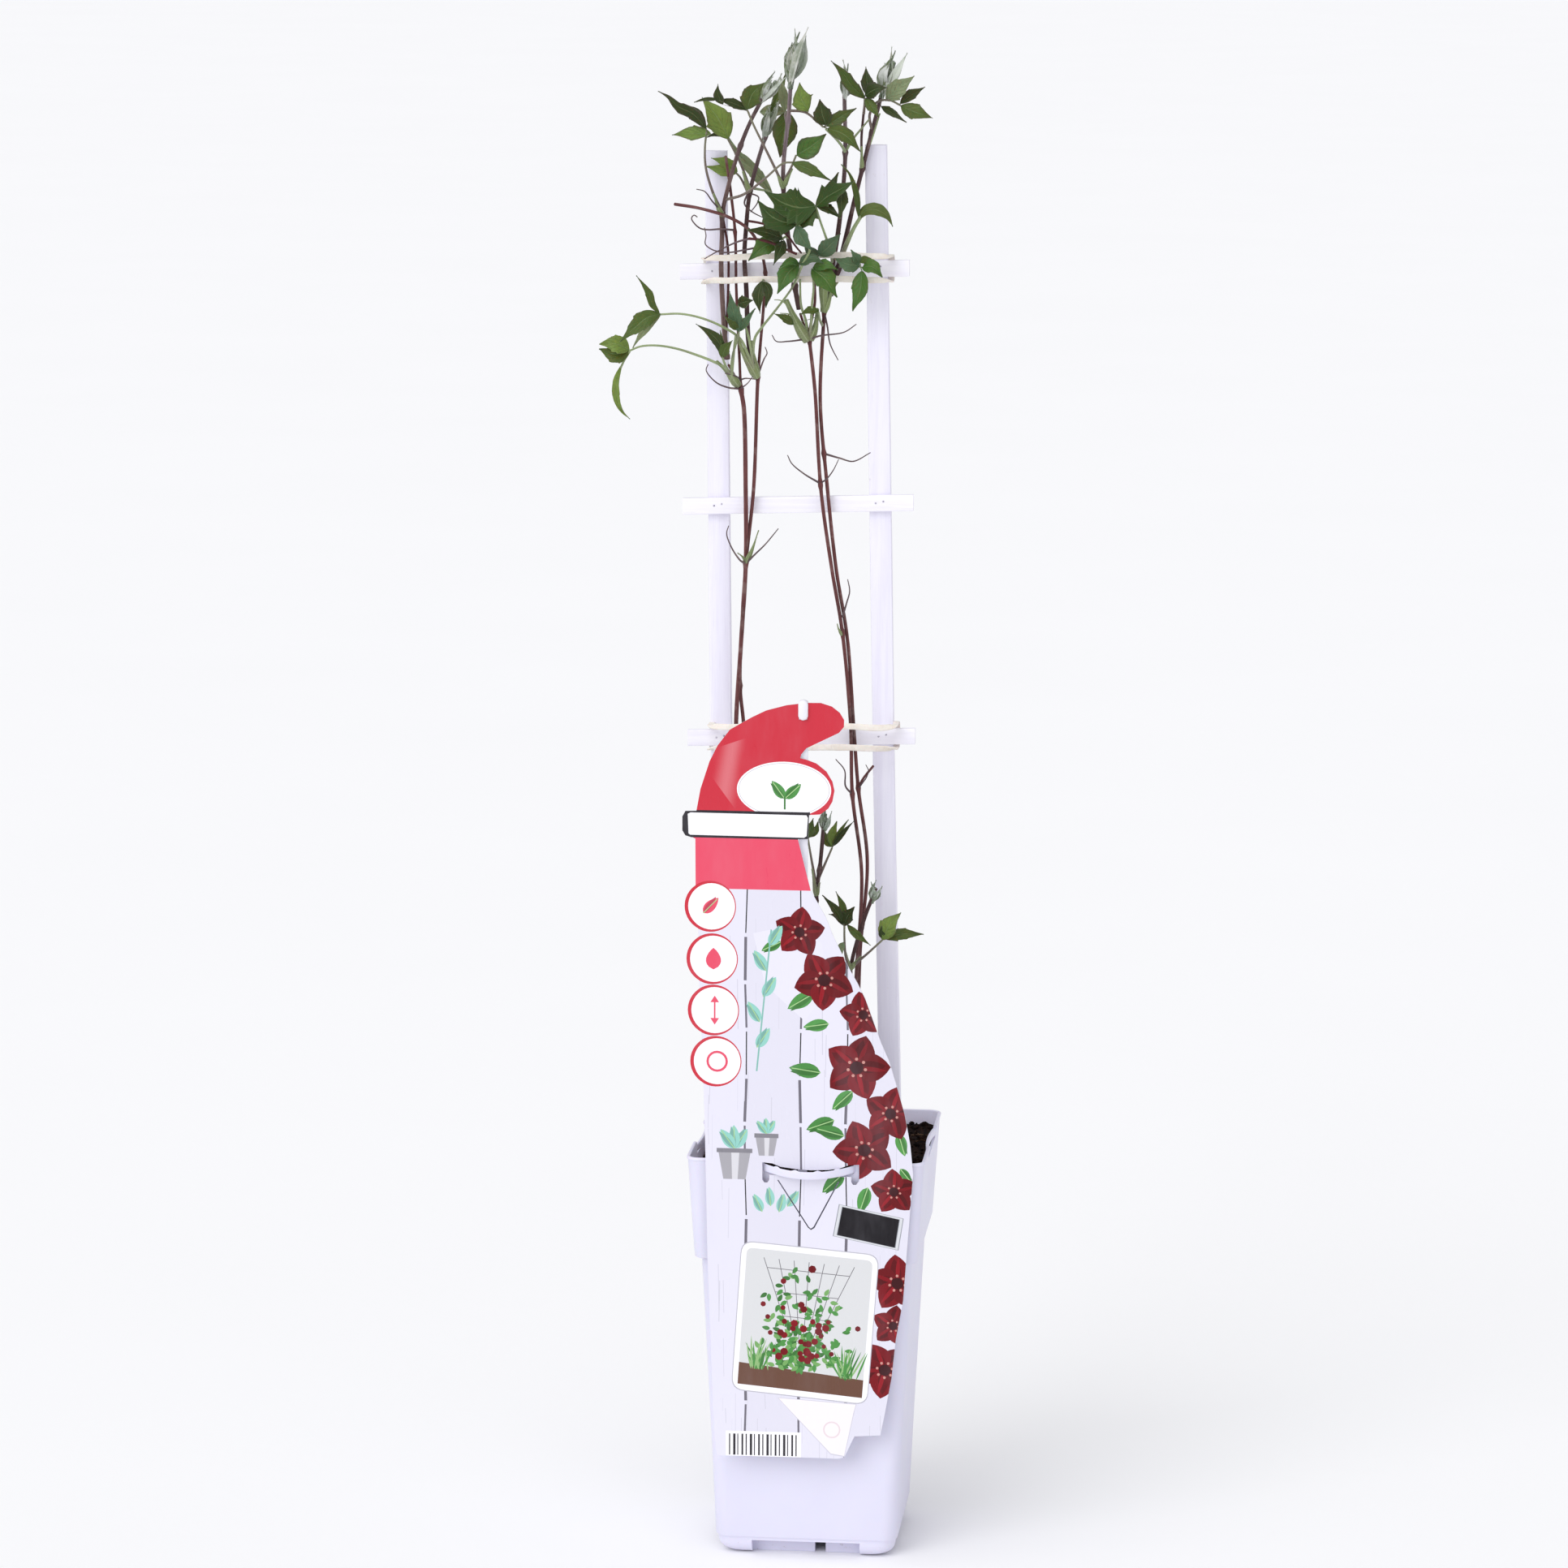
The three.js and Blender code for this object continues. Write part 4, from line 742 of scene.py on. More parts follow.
def upright_x(name, z):
    """Centre line of an upright at height z."""
    head, knee, foot = UPRIGHTS[name]
    head = at((*head, UPRIGHT_FRONT))
    knee = at((*knee, UPRIGHT_FRONT))
    if z > knee.z:
        return knee.x + (head.x - knee.x) * (z - knee.z) / (head.z - knee.z)
    return foot + (knee.x - foot) * (z - UPRIGHT_FOOT) / (knee.z - UPRIGHT_FOOT)


def make_upright(name):
    top = at((*UPRIGHTS[name][0], UPRIGHT_FRONT)).z
    section = planed(UPRIGHT_WIDE / 2, UPRIGHT_THICK / 2, 0.7)
    seed = 3.0 if "left" in name else 9.0
    rings = []
    for share, full in strip_rows(90):
        z = UPRIGHT_FOOT + (top - UPRIGHT_FOOT) * share
        ring = []
        for a, b in section:
            rough = 0.10 * noise.noise(Vector((a * 0.6, b * 0.6, z * 0.03 + seed)))
            lift = 0.25 * noise.noise(Vector((a, b, seed))) if z >= top else 0.0
            y = UPRIGHT_FRONT + UPRIGHT_THICK / 2 + b * full + rough
            ring.append(Vector((upright_x(name, z) + a * full + rough, y, z + lift)))
        rings.append(ring)
    shape = Shape()
    loft(shape, rings)
    shape.build(name + "_planed", [WOOD], [name])


def staple(shape, middle):
    """Two legs through a rung's face, and the crown behind the upright."""
    for side in (-1.9, 1.9):
        dot = middle + Vector((side, RUNG_FRONT + 0.1, 0.25 * side))
        tube(shape, [dot, dot + Vector((0, -0.35, 0))], lambda run, _: 0.55 - 0.5 * run, 10, 1)
    back = UPRIGHT_FRONT + UPRIGHT_THICK + 0.15
    tube(shape, [middle + Vector((side, back, 0.1 * side)) for side in (-3.4, 3.4)], 0.4, 8, 1)


def make_rung(name):
    left, right = RUNGS[name]
    section = planed(1.0, 1.0, 0.12)
    rings = []
    for share, full in strip_rows(40):
        x, top, foot = (a + (b - a) * share for a, b in zip(left, right))
        high = at((x, top, RUNG_FRONT))
        low = at((x, foot, RUNG_FRONT))
        tall = (high.z - low.z) / 2 * full
        thick = RUNG_THICK / 2 * full
        ring = []
        for a, b in section:
            rough = 0.08 * noise.noise(Vector((x * 0.03, a * 3, b * 3 + left[1])))
            y = RUNG_FRONT + RUNG_THICK / 2 + a * thick + rough
            ring.append(Vector((high.x, y, (high.z + low.z) / 2 + b * tall + rough)))
        rings.append(ring)
    shape = Shape()
    loft(shape, rings)
    for upright in UPRIGHTS:
        x = upright_x(upright, (left[1] + left[2] + right[1] + right[2]) / 4)
        share = (x - left[0]) / (right[0] - left[0])
        z = left[1] + (right[1] - left[1]) * share - (left[1] - left[2]) * 0.42
        staple(shape, Vector((x, 0, at((x, z, RUNG_FRONT)).z)))
    shape.build(name + "_planed", [RUNG_WOOD_PAINTED_LIGHTER, STAPLE], [name])


# ---------------------------------------------------------------- rubber bands
BAND_FRONT = -6.2
BAND_BACK = 10.7
BANDS = {  # per end: x, upper and lower run's z, and the rung's upper and lower edge there
    "rubber_band_top": ((-54.6, 655.6, 644.4, 652, 644.2), (31.2, 657.4, 645.6, 654.6, 646.4)),
    "rubber_band_bottom": ((-51, 419.8, 409, 417.1, 408.9), (35.6, 421, 410.4, 419.6, 411.6)),
}


def band_turn(end, side):
    """Points round one end of a rung, with the way the band's flat faces away from the rung."""
    x, high, low, rung_top, rung_low = end
    over = rung_top + 2.0
    under = rung_low - 2.0
    out = x + side * 3.4
    return [
        ((x - side * 8, BAND_FRONT, high), (0, -1, 0.1)),
        ((x - side * 2, BAND_FRONT + 0.7, high), (0, -1, 0.3)),
        ((out - side * 0.4, -2.4, (high + over) / 2 + 0.2), (-0.3 * side, -0.8, 0.8)),
        ((out, 3, over + 0.1), (0, -0.1, 1)),
        ((out, 8.5, over + 0.1), (0, 0.3, 1)),
        ((out, BAND_BACK, over - 3.4), (0, 1, 0.2)),
        ((out, BAND_BACK, under + 3.4), (0, 1, -0.2)),
        ((out, 8.5, under - 0.1), (0, 0.3, -1)),
        ((out, 3, under - 0.1), (0, -0.1, -1)),
        ((out - side * 0.4, -2.4, (low + under) / 2 - 0.2), (-0.3 * side, -0.8, -0.8)),
        ((x - side * 2, BAND_FRONT + 0.7, low), (0, -1, -0.3)),
        ((x - side * 8, BAND_FRONT, low), (0, -1, 0)),
    ]


def make_band(name):
    left, right = BANDS[name]

    def front(index, share, lift):
        """A point of the upper (1) or lower (2) run in front."""
        x = left[0] + (right[0] - left[0]) * share
        z = left[index] + (right[index] - left[index]) * share
        return ((x, BAND_FRONT - 0.5, z + lift), (0, -1, 0.12 * math.sin(x * 0.08)))

    marks = [front(2, 0.5, 0.6), front(2, 0.22, 0.5)]
    marks += band_turn(left, -1)[::-1]
    marks += [front(1, 0.22, 0.5), front(1, 0.5, 0.9), front(1, 0.78, 0.8)]
    marks += band_turn(right, 1)
    marks += [front(2, 0.78, 0.7), front(2, 0.5, 0.6)]
    places = [Vector(place) for place, _ in marks]
    path = smooth_path(places, 1.6)
    stops = [min(range(len(path)), key=lambda i: (path[i] - place).length) for place in places[:-1]]
    stops.append(len(path) - 1)
    facings = []
    for a, b, (_, first), (_, second) in zip(stops, stops[1:], marks, marks[1:]):
        for i in range(a, b):
            facings.append(Vector(first).lerp(Vector(second), (i - a) / max(1, b - a)))
    facings.append(Vector(marks[-1][1]))
    section = soft_box(12, 1.6, 0.42, 0.5)
    rings = []
    for i, point in enumerate(path):
        tangent = tangent_at(path, i)
        face = (facings[i] - tangent * facings[i].dot(tangent)).normalized()
        wide = face.cross(tangent)
        size = 1 + 0.06 * noise.noise(point * 0.15)
        rings.append([point + wide * a * size + face * b for a, b in section])
    shape = Shape()
    loft(shape, rings)
    shape.build(name + "_flat", [RUBBER], [name], 60)


# ---------------------------------------------------------------- stake behind the card
STAKE_TOP = 443
STAKE_LEAN = math.atan2(6.4, 240)
STAKE_ROWS = spots(  # height, and the left and right edge
    "163 -2.2 -1.2, 164 -2.5 -0.8, 175 -4 0.6, 190 -4 0.6, 260 -4 0.6, 330 -4 0.6, 400 -4 0.6,"
    "442.4 -4 0.6, 443 -3.6 0.2"
)
STAKE_PLUG = spots("-64 0.82, -63.8 0.93, -63.4 1, -60.2 1, -59.8 0.95")  # y, and share of its size


def make_stake():
    rings = []
    for z, low, high in STAKE_ROWS:
        front = -61.1 + (STAKE_TOP - z) * math.sin(STAKE_LEAN)
        section = planed((high - low) / 2, 0.9, 0.35)
        rings.append([Vector(((high + low) / 2 + a, front + 0.9 + b, z)) for a, b in section])
    shape = Shape()
    loft(shape, rings)
    section = planed(2.4, 5.0, 2.0)[::-1]
    plug = [[Vector((-1.6 + a * size, y, 438.6 + b * size)) for a, b in section] for y, size in STAKE_PLUG]
    loft(shape, plug[::-1])
    shape.build("label_stake_moulded", [STAKE], ["label_stake"])


# ---------------------------------------------------------------- plant routes
# A point is x z y as drawn, see STATION. Each stem or shoot has its radius, perhaps the radius above
# one of its route's points and that point's number, and the heights of its swollen nodes. Its rows
# are the route and then what grows from it: tendrils, sheaths, side stalks and dry ends with their
# radius at the base and at the end, stumps of leaves, and a companion shoot.
STEMS = table("""
stem_left_1 1.1 0.7 9 | 310 503 590 668
  route | -31 150 6, -33 205 4, -38 300 0, -41 380 -2.2, -41.5 420 -2.4, -39.2 460 -2.2, -36.8 503 -2.2,
      -37 540 -2.2, -38 580 -2.4, -39.5 590 -2.4, -40.3 605 -2.4, -42 640 -2.4, -42.7 668 -2.4,
      -45.2 690 -2, -47.5 705.5 -1.4
  tendril .62 .24 | -37 502 -2.2, -40 504 -8, -44 510 -9, -46.5 517 -9, -45.5 521 -9
  tendril .62 .24 | -36.8 502 -2.2, -32 507 -9, -27 512 -11, -20.5 520 -11
  tendril .62 .24 | -40 590 -2.4, -46 590.5 -9, -52 593 -11, -57 599 -11, -56 602 -11
  stump | -39 590 -2.4, -43 597 -2.6, -45.8 602 -3
  sheath 2.3 0.9 | -40.8 591.6 -2.6, -43.4 594.8 -4.6, -47.2 599.4 -6, -51.8 603.4 -6.4
  stalk 0.7 0.6 | -44.4 594 -6, -43.4 605 -9, -42.7 613 -9.6, -42.2 616.4 -9.6
  tendril 0.5 0.2 | -40 590 -2.6, -38.4 591 -5.5, -36 593 -7, -33.6 596.4 -7.4
  tendril 0.5 0.25 | -40 595 -3, -43 596.6 -6.5, -47.5 597.6 -8
  tendril 0.5 0.25 | -40 594.4 -3, -37 595.2 -6.4, -32 594.8 -7.4
  tendril 0.6 0.3 | -43 669 -2.6, -50 669.4 -6, -56 669 -9, -60 669.6 -10, -63 672 -10, -64.5 674.6 -10,
      -63.2 676.2 -10, -61.6 675.2 -10
  sheath 1.3 0.3 | -36.9 502.4 -2.6, -35 506 -4.6, -33 511 -6, -31.4 516 -6.6, -30.4 519 -6.8
  sheath 0.8 0.3 | -36.8 503 -2.6, -38.6 505.6 -5, -41 507.4 -6.4
stem_left_2 0.9 0.75 9 | 330 440 596 648
  route | -24 150 14, -27 205 11, -32 300 6, -35.4 380 1.6, -37.6 420 0.8, -39.5 440 0.4, -38.5 475 0.3,
      -36.5 505 0.3, -33 540 0.3, -31 596 0.6, -28.3 632 0.8, -27.5 648 0.4, -30.5 661 -1.6,
      -36 669.5 -6.4, -45 675 -7.4, -60 679.5 -8, -73 681.5 -8
  tendril .62 .24 | -31 597 0.6, -28 605 -4, -26.5 608 -5, -27.5 611 -5
  sheath 2.4 0.9 | -31.6 596 0.2, -34 600.6 -2.8, -37.6 606.6 -5.8, -40 612 -7.6, -41.5 617 -8.6
  sheath 1.6 0.6 | -31 597 0.3, -32.2 602 -2.4, -33.4 608 -5.4, -34.2 614 -7
  tendril 0.6 0.25 | -30.4 661 -1.8, -34 660 -8, -38 659.2 -10, -45 657.9 -10.6, -50 658 -11,
      -55 659.6 -11, -57.6 662 -11, -57.2 666 -11, -58 670 -11
stem_right_1 0.9 | 300 386 468 543 615
  route | 10 150 -2, 12 205 -3, 18 260 -5, 20.5 300 -5, 22.5 345 -4, 17.5 386 -2.2, 16.5 420 -2,
      12 468 -2, 6.5 500 -2, 0.8 540 -2, -2.5 590 -2, -5.5 616 -2.4
  tendril .62 .24 | 17.3 386 -2.2, 14 390 -8, 13.5 398 -10, 9 403.5 -10
  tendril .62 .24 | 12 476 -2, 14 483 -8, 15.5 489 -9, 14.5 495 -9
  tendril .62 .24 | 0.6 543 -2, -8 548 -9, -14 553 -11, -16 557 -11
  tendril .62 .24 | -5.5 615.5 -2.4, -16 614 -9, -22 614 -11, -24 617 -11
  tendril .62 .24 | -5.5 615 -2.4, 0 617 -8, 12 619 -11, 18 623 -11
  stump | -5.5 614 -2.4, -8 622 -3, -10 628 -3.6
  sheath 2.9 1.3 | -6.2 614.6 -2.8, -10.6 621.4 -5, -14 628 -7.6, -17 634.4 -9.8
  dry 0.85 0.6 | -5.8 616 -3, -4.3 625 -5.4, -2.7 634 -7, -3.1 647 -8
  stalk 0.7 0.2 | -12.4 627 -7.4, -16 631.6 -9.4, -20 634.4 -11, -23 634.6 -12
  stalk 0.6 0.2 | -10.6 624.4 -6, -15 627.4 -9, -20 628 -11
  sheath 2 0.9 | -4.6 615 -2.6, -2.4 621.6 -4.4, -1.4 630.4 -5.4
  stalk 0.8 0.5 | -6 618 -3, -7.4 625 -6, -9.6 632 -8.6, -10.2 645 -10
  tendril 0.5 0.2 | 0.7 543.4 -2.2, 3.6 545.4 -5, 7 550 -7, 9.6 555.4 -7.4
  sheath 0.9 0.3 | 12 466.6 -2.2, 10.8 468.4 -3.4, 9.8 470.6 -3.8, 9.4 472.4 -3.8
stem_right_2 0.9 | 320 389 558 629
  route | 18 150 6, 19 205 4, 21 260 1, 22 305 -0.6, 25.3 352 -0.6, 20.5 389 0.2, 18 420 0.3,
      14.5 465 0.3, 8.7 500 0.3, 3.6 545 0.3, 0.2 585 0.3, 2 630 0.6
  stump | 20.5 389 0.2, 23 394 -4, 28 400.5 -6
  tendril .62 .24 | 2.6 558 0.3, 10 556 -4, 17 554.5 -7, 25.5 559 -7
  tendril .62 .24 | 2 628 0.6, 3.5 622 -4, 5 613 -6, 9 605 -6
  sheath 1.8 2.6 | 1.9 629.4 0.2, 1.6 635 -1.8, 1.6 640 -2.8, 1.9 646 -3
  sheath 1.7 0.5 | 2.2 629 0.4, 3.4 633 -1, 6 640 -1.8, 9.8 645.4 -2.2
  tendril 0.5 0.2 | 20.6 388.8 0, 22.4 391.4 -4, 24.6 394.6 -6, 25.6 398 -6.4, 24.2 401 -6.4
shoot_left_outer 1.1 | 606 677 711
  route | -46.6 604.6 -3, -48 620 -3, -49.6 650 -2.8, -49.2 666 -2.8, -49 677 -4.2, -45.5 693 -5.2,
      -40 711 -6, -34.6 724 -6.6, -31.8 729.4 -7
  tendril .62 .24 | -49 678 -4.2, -54 683 -12, -58 688 -15, -62 689 -16
  companion | -47.4 611 -3, -46 640 -0.4, -46.2 660 -0.4, -48.6 674 -3.6
  sheath 1.4 0.5 | -49 676 -4.4, -51.6 681 -8, -53.4 687 -10
shoot_left_inner 1.1 | 601 688 715
  route | -34 600 -1.6, -36 616 -0.6, -37 640 0.2, -38 656 0.4, -37.2 670 1, -35.5 687 3, -31.8 702 5,
      -29 711.4 6
  stump | -32.3 597.2 0.4, -33.2 599 -0.6, -34.2 603 -1.6
  tendril .62 .24 | -36 688 3, -38 682 9, -34 678 13, -28 675 15
  tendril 0.5 0.25 | -35.4 687 2.6, -33 686.6 -1.4, -31 685.4 -3, -31.6 682.6 -3.6, -35 678 -4
  sheath 1.4 0.6 | -35.4 688 2.8, -37 692 1, -38.8 698 -0.6
shoot_centre 1.1 | 642 692 724
  route | -10.6 630 -3.8, -12.5 640 -3, -14.5 655 -2.6, -17 672 -4, -18.7 690 -6, -18.7 702 -7,
      -16.3 725 -9, -15.5 737.4 -10
  sheath 1.3 0.6 | -18.7 690 -6.2, -20.6 694.6 -8.6, -22.6 699.4 -10.4
  sheath 1.3 0.6 | -18.6 690.6 -6.2, -16.4 695.4 -8.6, -14.4 699.6 -10.6
shoot_right_inner 1.1 | 650 682 708
  route | 2.4 633 0.4, 4 640 -0.6, 5.5 650 -1.8, 8 664 -2, 11 690 -1, 12 708 1, 11.5 731.4 3
  stalk 0.9 0.5 | 12 708 0.8, 10.4 711 -4.6, 7 715 -9.4, 2.2 719.4 -13.4
  stalk 0.8 0.4 | 12 708.4 1, 16 715 -0.6, 19.4 719.2 0.4, 23.8 724.6 1
shoot_right_outer 1.1 | 650 700 718
  route | 5.2 637 2.2, 8.4 649 1.8, 12.5 666 2, 16.8 685 4, 20.5 700 5.6, 24 714 5.8, 28.9 733.2 10.6
  stump | 20.5 700 5.6, 20 715 3, 21 728 0
  stump | 2.7 631.4 1.8, 3.6 634 2, 5.4 638 2.2
  stalk 0.7 0.4 | 24 712 5.6, 26.4 719 6, 29 727.4 6.6
  sheath 1.2 0.5 | 20.4 699.4 5.4, 20.2 705 4.2, 20 711 3.2
shoot_low_left 1 | 300 334 350
  route | 2 180 -18, 2 205 -18, -1 270 -19, -0.5 332 -18, 1.5 350 -18, 3 368 -18
  sheath 1.3 0.5 | -0.5 333.4 -18.2, -1.4 339 -19.6, -2.6 347 -20.8
  sheath 1.2 0.5 | -0.4 333.4 -18, 0.6 337 -19.4, 1.2 340 -20.4
shoot_low_right 1 | 296 320
  route | 15 180 -14, 15 205 -14, 15.5 270 -14, 17.5 298 -14, 24 322 -14, 28 333 -14
  sheath 1.3 0.5 | 17.3 296 -14.2, 19.4 299 -16.4, 22.4 302.4 -17.6
  sheath 1.2 0.5 | 17.2 295.6 -14.2, 16 299.4 -17.4, 14.8 304 -20
dry_stem_upper 0.65 |
  route | -36 664.8 -12, -31 664.5 -12.5, -25 663 -13, -19 660.5 -13, -12 657.5 -12
  tendril .62 .24 | -35 665 -12, -42 663 -11, -52 658 -11, -58 654.5 -11
  dry 0.65 0.5 | -36.4 673.6 -8, -31 672.8 -9.6, -26 671.5 -11, -20 669 -12, -16 666 -12.6,
      -13 662 -12.6, -9.6 658 -12
""")

# Foot, three heads and greatest width of each downy tip, on a shoot or as a piece of its own.
TIPS = {
    "tip_left_outer": ((-31, 731, -7.2), [(-20, 746.5, -9), (-23, 747.5, -5), (-17, 746, -8)], 4.6),
    "tip_left_inner": ((-28.6, 713, 6), [(-21, 735.5, 7), (-24.5, 733, 8.5), (-26, 727, 6)], 5.2),
    "tip_centre": ((-15.6, 739, -10.2), [(-14, 768.5, -11), (-11, 767, -8), (-7.4, 769.6, -12)], 7.4),
    "tip_right_inner": ((11.5, 733, 3.2), [(10.5, 753.5, 3), (13.2, 751.6, 5), (14.5, 745, 2)], 4.6),
    "tip_right_outer": ((29.5, 735, 11), [(34, 760, 13), (36.5, 758, 10), (42, 757.5, 14)], 7.4),
    "shoot_low_left": ((2.9, 365, -18), [(1.6, 379, -18), (4.5, 380.6, -16.5), (7, 377, -20)], 4.4),
    "shoot_low_right": ((27.8, 330, -14), [(27, 341, -14), (30, 342, -13), (33, 339, -15)], 4.6),
}

